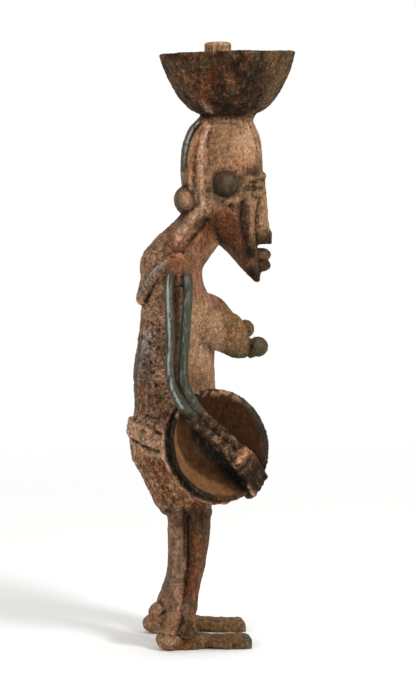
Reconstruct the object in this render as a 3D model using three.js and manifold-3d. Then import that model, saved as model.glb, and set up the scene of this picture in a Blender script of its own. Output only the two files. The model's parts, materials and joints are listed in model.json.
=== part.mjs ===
// A standing cast figure of a woman that carries one bowl on its head and holds a second one at its hip.
// Millimetres. The figure faces +X, its right side is -Y and +Z is up, with its soles at zero height.

import * as THREE from 'three';
import { mergeVertices } from 'three/addons/utils/BufferGeometryUtils.js';
import Module from 'manifold-3d';

const wasm = await Module();
wasm.setup();

// Driving sizes.
const crownHeight = 376;
const headBowlRadius = 48.6;
const headBowlDepth = 44;
const headBowlWall = 3;
const headBowlTilt = THREE.MathUtils.degToRad(1.4);
const pegRadius = 9.9;
const pegAbove = 8.5;
const pegSetBack = 6.8;
const pegRibs = 16;
const pegRibDepth = 0.8;
const hipBowlRadius = 40;
const hipBowlDepth = 30;
const hipBowlWall = 3;
const hipBowlTurn = THREE.MathUtils.degToRad(23);
const hipBowlLift = THREE.MathUtils.degToRad(17);
const rodRadius = 3.6;
const forearmAngle = THREE.MathUtils.degToRad(-47);
const bandBehindRim = 10;
const bandInset = 3.5;
const bandThick = 4.5;
const bandWide = 4;
const bandEndWide = 2.5;
const bandFrom = THREE.MathUtils.degToRad(130);
const bandTo = THREE.MathUtils.degToRad(290);
const bandSteps = 8;
const elbowInset = 8;
const wristInset = 15;
const palmInset = 6.5;
const braceletCount = 3;
const braceletWire = 2.1;
const braceletProud = 2;
const fingerCount = 4;
const fingerRadius = 2.4;
const toeCount = 5;
const toeLength = 7;
const toeGroove = 1;

// The figure's own pose, proportions and carving are thousandths of its height to the crown.
const share = crownHeight / 1000;
const right = -1;
const left = 1;
const upward = new THREE.Vector3(0, 0, 1);
const sideways = new THREE.Vector3(0, 1, 0);

const mergeWithin = 1e-3;

const at = (x, y, z) => new THREE.Vector3(x, y, z).multiplyScalar(share);
const shares = (radii) => radii.map((radius) => [].concat(radius).map((size) => size * share));

// A closed three.js geometry as a solid, with its faces turned outward.
function solid(geometry) {
  geometry.deleteAttribute('normal');
  geometry.deleteAttribute('uv');
  const merged = mergeVertices(geometry, mergeWithin);
  const corners = merged.index.array;
  const vertices = merged.attributes.position;
  const a = new THREE.Vector3();
  const b = new THREE.Vector3();
  const c = new THREE.Vector3();
  const kept = [];
  let volume = 0;
  for (let i = 0; i < corners.length; i += 3) {
    const [p, q, r] = [corners[i], corners[i + 1], corners[i + 2]];
    if (p === q || q === r || r === p) continue;
    kept.push(p, q, r);
    a.fromBufferAttribute(vertices, p);
    b.fromBufferAttribute(vertices, q);
    c.fromBufferAttribute(vertices, r);
    volume += a.dot(b.cross(c));
  }
  if (volume < 0) kept.reverse();
  return new wasm.Manifold(new wasm.Mesh({
    numProp: 3,
    vertProperties: Float32Array.from(vertices.array),
    triVerts: Uint32Array.from(kept),
  }));
}

const join = (...pieces) => pieces.flat().reduce((whole, piece) => whole.add(piece));

// A value between few given ones, smooth from each to the next: t runs from 0 to 1.
function smooth(values) {
  const points = values.map(([x, y = x, z = 0]) => new THREE.Vector3(x, y, z));
  if (points.length === 1) points.push(points[0]);
  const curve = new THREE.CatmullRomCurve3(points, false, 'catmullrom', 0.5);
  return (t) => curve.getPoint(THREE.MathUtils.clamp(t, 0, 1));
}

const rounded = (x, corner) => Math.sign(x) * Math.abs(x) ** (2 / corner);

// A body along one axis. Each level is [place on the axis, low edge, high edge, half width], in shares.
// A body along 'z' has its edges at the back and front, and one along 'x' has them below and above.
function body(levels, { sides = 24, steps = 1, corner = 2.3, axis = 'z', slope = 0, middle = 0 } = {}) {
  const rows = (levels.length - 1) * steps;
  const edges = smooth(levels.map(([place, low, high]) => [place, low, high]));
  const widths = smooth(levels.map(([, , , half]) => [half]));
  const geometry = new THREE.CylinderGeometry(1, 1, 1, sides, rows);
  const position = geometry.attributes.position;
  for (let i = 0; i < position.count; i += 1) {
    const reach = Math.hypot(position.getX(i), position.getZ(i));
    const across = reach > 0.5 ? rounded(position.getX(i), corner) : 0;
    const beside = reach > 0.5 ? rounded(position.getZ(i), corner) : 0;
    const t = position.getY(i) + 0.5;
    const { x: place, y: low, z: high } = edges(t);
    const edge = (low + high) / 2 + across * (high - low) / 2;
    const side = middle + beside * widths(t).x;
    const point = axis === 'z' ? at(edge, side, place - slope * (edge - low)) : at(place, side, edge);
    position.setXYZ(i, point.x, point.y, point.z);
  }
  return solid(geometry);
}

// A round-ended rod through points in millimetres. Its radii are [in the rod's plane, out of it].
function rod(points, radii, { sides = 8, steps = 2, out = sideways, domed = 1 } = {}) {
  const curve = new THREE.CatmullRomCurve3(points, false, 'centripetal');
  const radius = smooth(radii);
  const straight = (points.length - 1) * steps;
  const rows = straight + 2 * domed;
  const widest = THREE.MathUtils.degToRad(55);
  const geometry = new THREE.CylinderGeometry(1, 1, 1, sides, rows);
  const position = geometry.attributes.position;
  for (let i = 0; i < position.count; i += 1) {
    const row = Math.round((position.getY(i) + 0.5) * rows) - domed;
    const t = THREE.MathUtils.clamp(row / straight, 0, 1);
    const beyond = row < 0 ? row / domed : Math.max(0, row - straight) / domed;
    const { x: inPlane, y: outOfPlane } = radius(t);
    const dome = Math.cos(beyond * widest);
    const centre = curve.getPoint(t);
    const heading = curve.getTangent(t);
    centre.addScaledVector(heading, Math.sin(beyond * widest) * Math.min(inPlane, outOfPlane));
    const side = out.clone().addScaledVector(heading, -out.dot(heading)).normalize();
    const normal = side.clone().cross(heading);
    centre.addScaledVector(normal, position.getX(i) * inPlane * dome);
    centre.addScaledVector(side, position.getZ(i) * outOfPlane * dome);
    position.setXYZ(i, centre.x, centre.y, centre.z);
  }
  return solid(geometry);
}

// A ball stretched to three half sizes, in shares, and turned about the upright.
function ball(centre, [x, y = x, z = x], { down = 5, turn = 0 } = {}) {
  const geometry = new THREE.SphereGeometry(share, 8, down);
  geometry.scale(x, y, z).rotateZ(turn).translate(centre.x, centre.y, centre.z);
  return solid(geometry);
}

// A flat button whose round face looks sideways, with its sizes in shares.
function button(centre, radius, thickness) {
  const geometry = new THREE.CylinderGeometry(radius * share, radius * share, thickness * share, 10);
  return solid(geometry.translate(centre.x, centre.y, centre.z));
}

// The side of a bowl as [radius, height], from just above its foot to its rim.
function bowlSide(radius, depth, fullness, steps) {
  const sidePoints = [];
  for (let step = 1; step <= steps; step += 1) {
    const rise = (step / steps) ** 2;
    sidePoints.push(new THREE.Vector2(radius * rise ** fullness, depth * rise));
  }
  return sidePoints;
}

// A bowl that stands on the origin with its opening upward. The hollow alone is what it would hold.
function bowl({ radius, depth, wall, fullness, sides, steps }) {
  const outside = bowlSide(radius, depth, fullness, steps);
  const inside = bowlSide(radius - wall, depth - wall, fullness, steps);
  const upInside = inside.map((point) => new THREE.Vector2(point.x, point.y + wall));
  const downInside = [...upInside].reverse();
  const floor = new THREE.Vector2(0, wall);
  const foot = [new THREE.Vector2(0, 0), new THREE.Vector2(outside[0].x, 0)];
  const lip = new THREE.Vector2(radius - wall / 2, depth + wall / 4);
  const shell = [...foot, ...outside, lip, ...downInside, floor];
  const above = depth + wall * 2;
  const filling = [floor, ...upInside, new THREE.Vector2(radius - wall, above), new THREE.Vector2(0, above)];
  const upright = (profile) => new THREE.LatheGeometry(profile, sides).rotateX(Math.PI / 2);
  return { shell: upright(shell), filling: upright(filling) };
}

// Trunk, neck and head.
function trunk() {
  const levels = [
    [832, -46, 20, 44],
    [808, -70, 30, 48],
    [777, -103, 22, 54],
    [748, -126, 3, 64],
    [722, -131, -14, 70],
    [690, -128, -11, 70],
    [655, -127, 4, 69],
    [575, -137, 9, 65],
    [519, -145, 10, 66],
    [452, -142, 13, 74],
    [398, -152, 14, 84],
    [356, -147, 12, 86],
    [325, -128, 10, 84],
    [298, -118, 8, 79],
    [270, -104, 3, 72],
    [252, -92, 0, 64],
  ];
  return body(levels, { sides: 16, corner: 2.5 });
}

function skull() {
  const levels = [
    [695, 89, 98, 9],
    [720, 64, 100, 24],
    [763, 25, 92, 40],
    [798, -16, 88, 51],
    [830, -42, 88, 56],
    [875, -46, 98, 60],
    [928, -48, 102, 61],
    [965, -40, 98, 57],
    [990, -25, 89, 50],
    [1012, -9, 78, 44],
  ];
  return body(levels, { sides: 16 });
}

function hair() {
  const crest = [at(-14, 0, 1006), at(-36, 0, 978), at(-46, 0, 943), at(-47, 0, 905), at(-45, 0, 872)];
  const fringe = [at(62, 0, 1008), at(83, 0, 988), at(95, 0, 960), at(97, 0, 938)];
  const beside = (side) => {
    const apart = side * 31;
    const lock = [at(-2, side * 27, 1000), at(-27, side * 30, 972), at(-38, apart, 935), at(-37, apart, 893)];
    return rod(lock, shares([6, 7, 7, 6]), { sides: 6, steps: 1 });
  };
  return [
    rod(crest, shares([[5, 12], [7, 13], [7, 13], [6, 11]]), { steps: 1 }),
    rod(fringe, shares([[5, 15], [6, 17], [5, 15], [4, 10]])),
    beside(right),
    beside(left),
    ball(at(-44, 0, 852), [23, 40, 27]),
  ];
}

function face() {
  const nose = body([
    [768, 84, 120, 17],
    [790, 84, 120, 18],
    [800, 80, 116, 14],
    [859, 80, 110, 11],
    [896, 86, 107, 13],
  ], { sides: 8, corner: 4 });
  const lips = [ball(at(101, 0, 747), [19, 24, 13]), ball(at(101, 0, 727), [19, 22, 13])];
  const sides = [right, left].flatMap((side) => {
    const cheekTurn = side * THREE.MathUtils.degToRad(40);
    const lid = (height) => ball(at(89, side * 33, height), [8, 17, 9], { down: 4, turn: cheekTurn });
    const brow = [at(56, side * 52, 890), at(90, side * 34, 899), at(104, side * 4, 898)];
    return [
      lid(882),
      lid(867),
      rod(brow, shares([6, 7, 6]), { sides: 6, out: upward }),
      button(at(23, side * 61, 884), 25, 20),
    ];
  });
  return [nose, ...lips, ...sides];
}

// The raised edge that runs from each shoulder down to a point on the upper back.
function shoulderRidge(side) {
  const points = [
    at(-66, side * 88, 747),
    at(-94, side * 73, 730),
    at(-115, side * 50, 699),
    at(-127, side * 22, 670),
    at(-128, 0, 660),
  ];
  return rod(points, shares([[8, 11], [8, 13], [8, 11]]), { sides: 6, steps: 1, out: upward });
}

function breast(side, points, radii, tip, tipRadius) {
  const axis = points.map(([x, z]) => at(x, side * 42, z));
  return [rod(axis, shares(radii), { sides: 9, steps: 1 }), ball(at(...tip), [tipRadius])];
}

function belt() {
  const levels = [
    [383, -146, 12, 83],
    [394, -153, 17, 90],
    [415, -157, 18, 92],
    [431, -153, 16, 88],
    [443, -144, 11, 80],
  ];
  return body(levels, { sides: 16, slope: 0.4 });
}

function apron() {
  const levels = [
    [236, -24, -2, 18],
    [248, -22, 6, 25],
    [272, -20, 4, 30],
    [320, -20, 10, 36],
  ];
  return body(levels, { sides: 10 });
}

// Each leg is two rods side by side, calf and shin, on a heel with a separate bar-like foot.
function leg(side, ahead) {
  const stance = (height) => side * THREE.MathUtils.mapLinear(height, 290, 70, 46, 64);
  const lead = (height) => ahead * THREE.MathUtils.clamp((height - 30) / 40, 0, 1);
  const along = (heights, places) => heights.map((z, i) => at(places[i] + lead(z), stance(z), z));
  const calf = along([290, 221, 160, 116, 90, 40], [-68, -68, -69, -75, -81, -83]);
  const shin = along([290, 221, 170, 130, 94, 40], [-31, -30, -32, -40, -46, -52]);
  return [
    rod(calf, shares([[19, 30], [18, 27], [18.5, 25], [21, 25], [23, 26], [22, 24]]), { steps: 1 }),
    rod(shin, shares([[21, 29], [20, 27], [18, 25], [16.5, 24], [16, 24], [16, 23]]), { steps: 1 }),
    ball(at(-105 + ahead * 2, side * 64, 71), [20.5]),
    ball(at(-81 - ahead / 2, side * 65, 19), [31, 28, 22]),
    button(at(-53, side * 86, 40), 15.5, 14),
    foot(side, ahead / 3),
  ];
}

function foot(side, ahead) {
  const middle = side * 64;
  const toes = 72 + ahead;
  const sole = body([
    [-90 + ahead, -4, 36, 20],
    [-40 + ahead, -4, 34, 20],
    [-12 + ahead, 4, 26, 22],
    [18 + ahead, -3, 23, 26],
    [52 + ahead, -4, 22, 28],
    [toes, -4, 18, 26],
  ], { sides: 10, corner: 3.4, axis: 'x', middle });
  const grooves = Array.from({ length: toeCount - 1 }, (_, groove) => {
    const across = middle + (groove + 1 - toeCount / 2) * 50 / toeCount;
    const place = at(toes, across, 24);
    const cut = new THREE.BoxGeometry(toeLength * 2, toeGroove, 32 * share);
    return solid(cut.translate(place.x, place.y, place.z));
  });
  return sole.subtract(join(grooves));
}

// The hip bowl opens outward and a little up and forward. Its foot is sunk in the hip.
const hipBowlOpening = new THREE.Vector3(
  Math.sin(hipBowlTurn) * Math.cos(hipBowlLift),
  -Math.cos(hipBowlTurn) * Math.cos(hipBowlLift),
  Math.sin(hipBowlLift),
);
const hipBowlFoot = at(-27, -62, 380);
const hipBowlRim = hipBowlFoot.clone().addScaledVector(hipBowlOpening, hipBowlDepth);
const mouthAcross = upward.clone().cross(hipBowlOpening).normalize();
const mouthUp = hipBowlOpening.clone().cross(mouthAcross);
const forearmAlong = mouthAcross.clone().multiplyScalar(Math.cos(forearmAngle))
  .addScaledVector(mouthUp, Math.sin(forearmAngle));
const forearmBeside = hipBowlOpening.clone().cross(forearmAlong);

// A point over the hip bowl's mouth, along and beside the forearm and out from the rim's plane.
const overMouth = (along, beside, out) => hipBowlRim.clone().addScaledVector(forearmAlong, along)
  .addScaledVector(forearmBeside, beside).addScaledVector(hipBowlOpening, out);

function hipBowl() {
  const made = bowl({
    radius: hipBowlRadius, depth: hipBowlDepth, wall: hipBowlWall, fullness: 0.47, sides: 24, steps: 4,
  });
  const turned = new THREE.Quaternion().setFromUnitVectors(upward, hipBowlOpening);
  const placed = (geometry) => solid(geometry.applyQuaternion(turned)
    .translate(hipBowlFoot.x, hipBowlFoot.y, hipBowlFoot.z));
  return { shell: placed(made.shell), filling: placed(made.filling) };
}

// A raised band hugs the hip bowl behind its rim, round the sides that face back and down.
function hipBand() {
  const bandRadius = hipBowlRadius - bandInset;
  const points = Array.from({ length: bandSteps }, (_, step) => {
    const angle = THREE.MathUtils.mapLinear(step, 0, bandSteps - 1, bandFrom, bandTo);
    return hipBowlRim.clone().addScaledVector(mouthAcross, Math.cos(angle) * bandRadius)
      .addScaledVector(mouthUp, Math.sin(angle) * bandRadius).addScaledVector(hipBowlOpening, -bandBehindRim);
  });
  const radii = [bandEndWide, bandWide, bandWide, bandEndWide].map((wide) => [bandThick, wide]);
  return rod(points, radii, { sides: 6, steps: 1, out: hipBowlOpening });
}

// An upper arm is a hairpin: one rod up the back, over the shoulder and down the front.
function hairpin(side, backEnd, frontEnd) {
  const points = [
    ...backEnd,
    at(-86, side * 120, 518),
    at(-87, side * 112, 610),
    at(-88, side * 103, 705),
    at(-83, side * 101, 725),
    at(-71, side * 101, 735),
    at(-59, side * 101, 725),
    at(-54, side * 103, 705),
    at(-60, side * 112, 610),
    at(-63, side * 120, 518),
    ...frontEnd,
  ];
  return rod(points, [[rodRadius]], { sides: 6, steps: 1 });
}

function rightArm() {
  const standoff = rodRadius * 0.8;
  const beside = rodRadius * 2;
  const elbow = elbowInset - hipBowlRadius;
  const wrist = hipBowlRadius - wristInset;
  const knuckles = hipBowlRadius - palmInset;
  const below = -rodRadius / 2;
  const above = below + beside;
  const middle = (below + above) / 2;
  const lower = [
    overMouth(wrist, below, standoff),
    overMouth(0, below, standoff),
    overMouth(elbow, below, standoff),
  ];
  const upper = [
    overMouth(elbow + rodRadius, above, standoff),
    overMouth(0, above, standoff),
    overMouth(wrist, above, standoff),
  ];
  const bracelets = Array.from({ length: braceletCount }, (_, ring) => {
    const along = wrist - (ring + 0.5) * braceletWire * 2;
    const ends = [overMouth(along, middle, standoff), overMouth(along + braceletWire, middle, standoff)];
    const proud = [rodRadius + braceletProud, beside + braceletProud];
    return rod(ends, [proud], { sides: 10, steps: 1, out: forearmBeside });
  });
  const palm = [overMouth(wrist, middle, standoff), overMouth(knuckles, middle - fingerRadius, standoff)];
  const palmWidth = fingerCount * fingerRadius;
  const fingers = Array.from({ length: fingerCount }, (_, finger) => {
    const across = middle - fingerRadius + (finger - fingerCount / 2) * palmWidth * 2 / fingerCount;
    const over = hipBowlRadius - fingerRadius / 4;
    const bend = [
      overMouth(knuckles, across * 0.9, standoff + fingerRadius / 2),
      overMouth(over, across, standoff),
      overMouth(over + fingerRadius / 2, across * 1.1, -standoff - fingerRadius),
    ];
    return rod(bend, [[fingerRadius]], { sides: 5, steps: 1, out: forearmBeside });
  });
  return join(hairpin(right, lower, upper), bracelets, fingers,
    rod(palm, [[rodRadius, palmWidth * 0.8], [rodRadius, palmWidth * 0.95]], { out: forearmBeside }));
}

function leftArm() {
  const lower = [at(6, 92, 352), at(-32, 112, 410), at(-70, 126, 468)];
  const upper = [at(-42, 126, 478), at(-8, 112, 424), at(24, 92, 370)];
  const palm = [at(14, 90, 366), at(22, 76, 338)];
  const palmWidth = fingerCount * fingerRadius;
  const fingers = Array.from({ length: fingerCount }, (_, finger) => {
    const apart = new THREE.Vector3((finger - (fingerCount - 1) / 2) * palmWidth * 1.6 / fingerCount, 0, 0);
    const line = [at(16, 80, 344).add(apart), at(18, 68, 306).add(apart)];
    return rod(line, [[fingerRadius]], { sides: 5, steps: 1 });
  });
  const palmRadii = [[palmWidth * 0.8, rodRadius], [palmWidth * 0.9, rodRadius]];
  return join(hairpin(left, lower, upper), fingers, rod(palm, palmRadii));
}

// A short stem flares from the top of the head to the foot of the bowl.
const stem = () => body([[1000, -6, 82, 44], [1014, -12, 88, 50]], { sides: 16 });

const shoulder = (side) => ball(at(-72, side * 86, 727), [26, 26, 22]);

// The bowl on the head, with the ribbed peg that rises from its floor.
function headBowl() {
  const seat = at(38, 0, 1010);
  const { shell } = bowl({
    radius: headBowlRadius, depth: headBowlDepth, wall: headBowlWall, fullness: 0.285, sides: 24, steps: 5,
  });
  const pegHeight = headBowlDepth + pegAbove - headBowlWall / 2;
  const peg = new THREE.CylinderGeometry(pegRadius, pegRadius, pegHeight, pegRibs * 2, 1);
  const position = peg.attributes.position;
  for (let i = 0; i < position.count; i += 1) {
    const angle = Math.atan2(position.getX(i), position.getZ(i));
    const groove = (1 - Math.cos(angle * pegRibs)) / 2;
    const scale = 1 - groove * pegRibDepth / pegRadius;
    position.setXYZ(i, position.getX(i) * scale, position.getY(i), position.getZ(i) * scale);
  }
  peg.rotateX(Math.PI / 2).translate(-pegSetBack, 0, headBowlWall / 2 + pegHeight / 2);
  const placed = (geometry) => solid(geometry.rotateY(-headBowlTilt).translate(seat.x, seat.y, seat.z));
  return join(placed(shell), placed(peg));
}

function figure() {
  const { shell, filling } = hipBowl();
  const rightBreast = breast(
    right, [[-20, 612], [20, 606], [37, 592], [52, 578], [72, 570]],
    [[36, 30], [42, 30], [36, 28], [27, 23], [18, 17]], [88, -44, 575], 19.5,
  );
  const leftBreast = breast(
    left, [[-14, 640], [10, 632], [27, 621], [45, 608], [64, 597]],
    [[38, 30], [35, 29], [29, 26], [23, 21], [17, 17]], [78, 45, 601], 18,
  );
  const standing = join(
    trunk(), skull(), hair(), face(), shoulderRidge(right), shoulderRidge(left), rightBreast, leftBreast,
    belt(), apron(), leg(right, 0), leg(left, 20), shoulder(right), shoulder(left), shell, hipBand(), stem(),
  );
  const whole = join(standing.subtract(filling), rightArm(), leftArm(), headBowl());
  const ground = new THREE.BoxGeometry(crownHeight, crownHeight, crownHeight);
  ground.translate(0, 0, -crownHeight / 2);
  return whole.subtract(solid(ground));
}

// The mesh stands on the origin, at the middle of its own outline.
function meshOf(made, name, material) {
  const { vertProperties, triVerts } = made.getMesh();
  const geometry = new THREE.BufferGeometry();
  geometry.setAttribute('position', new THREE.BufferAttribute(vertProperties, 3));
  geometry.setIndex(new THREE.BufferAttribute(triVerts, 1));
  geometry.computeBoundingBox();
  const { min, max } = geometry.boundingBox;
  geometry.translate(-(min.x + max.x) / 2, -(min.y + max.y) / 2, -min.z);
  geometry.computeVertexNormals();
  const mesh = new THREE.Mesh(geometry, material);
  mesh.name = name;
  return mesh;
}

const bronze = new THREE.MeshStandardMaterial({ color: 0x8a6446, roughness: 0.7, metalness: 0.55 });
const part = new THREE.Group();
part.add(meshOf(figure(), 'figure', bronze));

export default part;
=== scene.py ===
"""A standing cast figure of a woman with one bowl on its head and one at its hip, in corroded bronze."""

import json
import math

import bpy
import numpy as np
from mathutils import Matrix, Vector, noise

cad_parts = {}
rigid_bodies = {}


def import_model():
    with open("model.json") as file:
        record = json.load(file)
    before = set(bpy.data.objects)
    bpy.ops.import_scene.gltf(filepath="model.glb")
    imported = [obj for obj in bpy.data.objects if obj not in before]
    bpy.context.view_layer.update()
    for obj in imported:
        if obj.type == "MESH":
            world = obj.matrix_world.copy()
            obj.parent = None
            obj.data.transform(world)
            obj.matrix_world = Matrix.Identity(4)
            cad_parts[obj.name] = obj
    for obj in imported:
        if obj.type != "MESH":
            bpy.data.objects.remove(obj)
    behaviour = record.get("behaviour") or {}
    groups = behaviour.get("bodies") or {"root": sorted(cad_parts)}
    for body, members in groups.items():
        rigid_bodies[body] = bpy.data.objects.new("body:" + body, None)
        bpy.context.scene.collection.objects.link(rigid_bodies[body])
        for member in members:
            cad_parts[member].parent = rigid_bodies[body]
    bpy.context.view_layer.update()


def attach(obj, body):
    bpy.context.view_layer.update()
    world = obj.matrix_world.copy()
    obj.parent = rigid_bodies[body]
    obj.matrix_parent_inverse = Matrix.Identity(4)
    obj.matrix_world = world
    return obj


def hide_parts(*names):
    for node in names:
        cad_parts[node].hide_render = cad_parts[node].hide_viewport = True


bl_info = {
    "name": "Bronze Figure with Bowls",
    "version": (1, 0, 0),
    "blender": (4, 5, 0),
    "location": "View3D > Sidebar > Figure",
    "description": "Models a standing bronze figure that carries a bowl on its head and one at its hip",
    "category": "Object",
}

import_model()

MM = 0.001
RIGHT, LEFT = -1, 1
UP = Vector((0, 0, 1))
SIDEWAYS = Vector((0, 1, 0))
# The middle of the outline, measured from the figure's own axis.
MIDDLE = Vector((0.0013832, -0.0088542, 0))
TARGET = Vector((-0.00068, 0.00003, 0.2194)) - MIDDLE
SEED = 7

# How a bowl's side swells: its reach is the radius times its share of the depth to this power.
HIP_BOWL_FULLNESS = 0.47
HEAD_BOWL_FULLNESS = 0.285
# How far the hip bowl's mouth turns forward and up, and how the forearm slants across it.
HIP_BOWL_TURN, HIP_BOWL_LIFT, FOREARM_SLANT = math.radians(23), math.radians(17), math.radians(-47)
# From the hip bowl's rim back to the wrist, and from one wrist ring to the next.
WRIST_INSET = 0.015
RING_GAP = 0.0042


# Small helpers: colours, curves and places.

def tint(red, green, blue):
    """A screen colour as the linear one that a shader takes."""
    return tuple((level / 255) ** 2.2 for level in (red, green, blue))


def size(name, description, default, low=0.0, high=1.0):
    return bpy.props.FloatProperty(name=name, description=description, default=default, min=low, max=high,
                                   subtype="DISTANCE", unit="LENGTH", precision=5)


def colour(name, description, *screen):
    return bpy.props.FloatVectorProperty(name=name, description=description, default=tint(*screen),
                                         subtype="COLOR", size=3, min=0.0, max=1.0)


def amount(name, description, default, low=0.0, high=1.0):
    return bpy.props.FloatProperty(name=name, description=description, default=default, min=low, max=high)


class FigureSizes(bpy.types.PropertyGroup):
    """Sizes of the figure and of its two bowls."""
    crown_height: size("Crown height", "From the soles to the top of the head", 0.376)
    head_bowl_radius: size("Head bowl radius", "At the rim", 0.0486)
    head_bowl_depth: size("Head bowl depth", "From its foot to its rim", 0.044)
    head_bowl_wall: size("Head bowl wall", "Thickness", 0.003)
    peg_radius: size("Peg radius", "Ribbed peg in the head bowl", 0.0099)
    peg_above: size("Peg above rim", "How far the peg stands out of the bowl", 0.0085)
    hip_bowl_radius: size("Hip bowl radius", "At the rim", 0.040)
    hip_bowl_depth: size("Hip bowl depth", "From its foot to its rim", 0.030)
    hip_bowl_wall: size("Hip bowl wall", "Thickness", 0.003)
    rod_radius: size("Arm rod radius", "Round rods of the arms", 0.0036)


class SurfaceSizes(bpy.types.PropertyGroup):
    """Sizes of the worn and corroded surface."""
    grain: size("Cast grain", "Edge of the squares that the joined casting is remade in", 0.00085, 0.0006)
    swell: size("Hand swell", "Unevenness left by the hand that shaped the wax", 0.0011)
    lumps: size("Lumps", "Lumps of the belt, the forearm and the heels", 0.0026)
    crust: size("Crust", "Height of the corrosion crust", 0.0017)
    pitting: size("Pitting", "Depth of the corroded pits", 0.0015)
    tooth: size("Tooth", "Fine roughness of the cast skin", 0.0007)
    triangles: bpy.props.IntProperty(name="Triangles", description="Most triangles in the finished casting",
                                     default=192000, min=20000, max=199000)


class PatinaColours(bpy.types.PropertyGroup):
    """Colours of the patina."""
    # Soot also serves as painted shade and shadow: in the hollows and in some patches.
    soot: colour("Soot", "Near-black green of the deep hollows", 22, 21, 15)
    umber: colour("Umber", "Dark brown of the bowls", 62, 44, 29)
    earth: colour("Earth", "Mid brown", 116, 84, 60)
    ochre: colour("Ochre", "Orange-brown", 156, 102, 66)
    rust: colour("Rust", "Red-brown", 104, 56, 34)
    sand: colour("Sand", "Tan burial dust", 166, 132, 102)
    rose: colour("Rose", "Pinkish oxide", 172, 132, 112)
    olive: colour("Olive", "Greenish brown", 104, 86, 54)
    verdigris: colour("Verdigris", "Copper green", 58, 78, 62)
    # Gunmetal also serves as painted shade on the breasts' undersides.
    gunmetal: colour("Gunmetal", "Dark grey-green of the handled metal", 68, 69, 58)
    # Slate also serves as painted highlight: on the arm rods, the crest, the ear and the near breast's tip.
    slate: colour("Slate", "Pale grey of the rubbed metal", 158, 161, 158)


SHADES = ("soot", "umber", "earth", "ochre", "rust", "sand", "rose", "olive", "verdigris", "gunmetal",
          "slate")


class StageLight(bpy.types.PropertyGroup):
    """Floor and studio light."""
    floor: colour("Floor", "Pale floor", 244, 244, 242)
    key_power: amount("Key light", "Watts of the high front light", 27.0, 0.0, 500.0)
    side_power: amount("Side light", "Watts of the light on the figure's back", 5.0, 0.0, 500.0)
    surround: amount("Surround", "Strength of the surround in front of the figure", 0.28, 0.0, 5.0)


def sizes():
    return bpy.context.scene.figure_sizes


def surface():
    return bpy.context.scene.figure_surface


def share():
    """One thousandth of the height to the crown."""
    return sizes().crown_height / 1000


def at(x, y, z):
    """A place on the figure, in thousandths of its height from its own axis."""
    return Vector((x, y, z)) * share() - MIDDLE


def line_at(points, side=RIGHT):
    """Places given in millimetres from the figure's own axis, on its right side or mirrored to its left."""
    return [Vector((x, -side * y, z)) * MM - MIDDLE for x, y, z in points]


def on_axis(place):
    """The same place in millimetres from the figure's own axis."""
    return np.array(place + MIDDLE) / MM


def shares(radii):
    """Radii in thousandths as pairs of real ones: a single radius stands for a round."""
    pairs = [radius if isinstance(radius, tuple) else (radius, radius) for radius in radii]
    return [(first * share(), second * share()) for first, second in pairs]


def spread(points, step):
    """Four neighbours of a place on a run of points: the ends carry on straight."""
    first = points[step - 1] if step > 0 else points[0] * 2 - points[1]
    last = points[step + 2] if step + 2 < len(points) else points[-1] * 2 - points[-2]
    return first, points[step], points[step + 1], last


def cubic(start, end, leave, arrive, t):
    turn = -3 * start + 3 * end - 2 * leave - arrive
    close = 2 * start - 2 * end + leave + arrive
    return start + leave * t + turn * t ** 2 + close * t ** 3


def between(values, t):
    """A value between few given ones, smooth from each to the next: t runs from 0 to 1."""
    values = [np.array(value, float) for value in values]
    if len(values) == 1:
        return values[0]
    place = min(max(t, 0.0), 1.0) * (len(values) - 1)
    step = min(int(place), len(values) - 2)
    before, start, end, after = spread(values, step)
    return cubic(start, end, (end - before) / 2, (after - start) / 2, place - step)


def path_point(points, t):
    """A point on the smooth line through the points, which doesn't overshoot at uneven gaps."""
    place = min(max(t, 0.0), 1.0) * (len(points) - 1)
    step = min(int(place), len(points) - 2)
    before, start, end, after = spread(points, step)
    gaps = [max((b - a).length ** 0.5, 1e-4) for a, b in ((before, start), (start, end), (end, after))]
    leave = (start - before) / gaps[0] - (end - before) / (gaps[0] + gaps[1]) + (end - start) / gaps[1]
    arrive = (end - start) / gaps[1] - (after - start) / (gaps[1] + gaps[2]) + (after - end) / gaps[2]
    return cubic(start, end, leave * gaps[1], arrive * gaps[1], place - step)


def path_heading(points, t):
    near, far = max(t - 1e-3, 0.0), min(t + 1e-3, 1.0)
    return (path_point(points, far) - path_point(points, near)).normalized()


# Modelling: each form is one outline, extruded ring by ring in edit mode.

def select_none():
    if bpy.context.mode != "OBJECT":
        bpy.ops.object.mode_set(mode="OBJECT")
    bpy.ops.object.select_all(action="DESELECT")


def make_active(piece):
    select_none()
    piece.select_set(True)
    bpy.context.view_layer.objects.active = piece


def face_outward(piece):
    make_active(piece)
    bpy.ops.object.mode_set(mode="EDIT")
    bpy.ops.mesh.select_all(action="SELECT")
    bpy.ops.mesh.normals_make_consistent(inside=False)
    bpy.ops.object.mode_set(mode="OBJECT")


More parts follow.
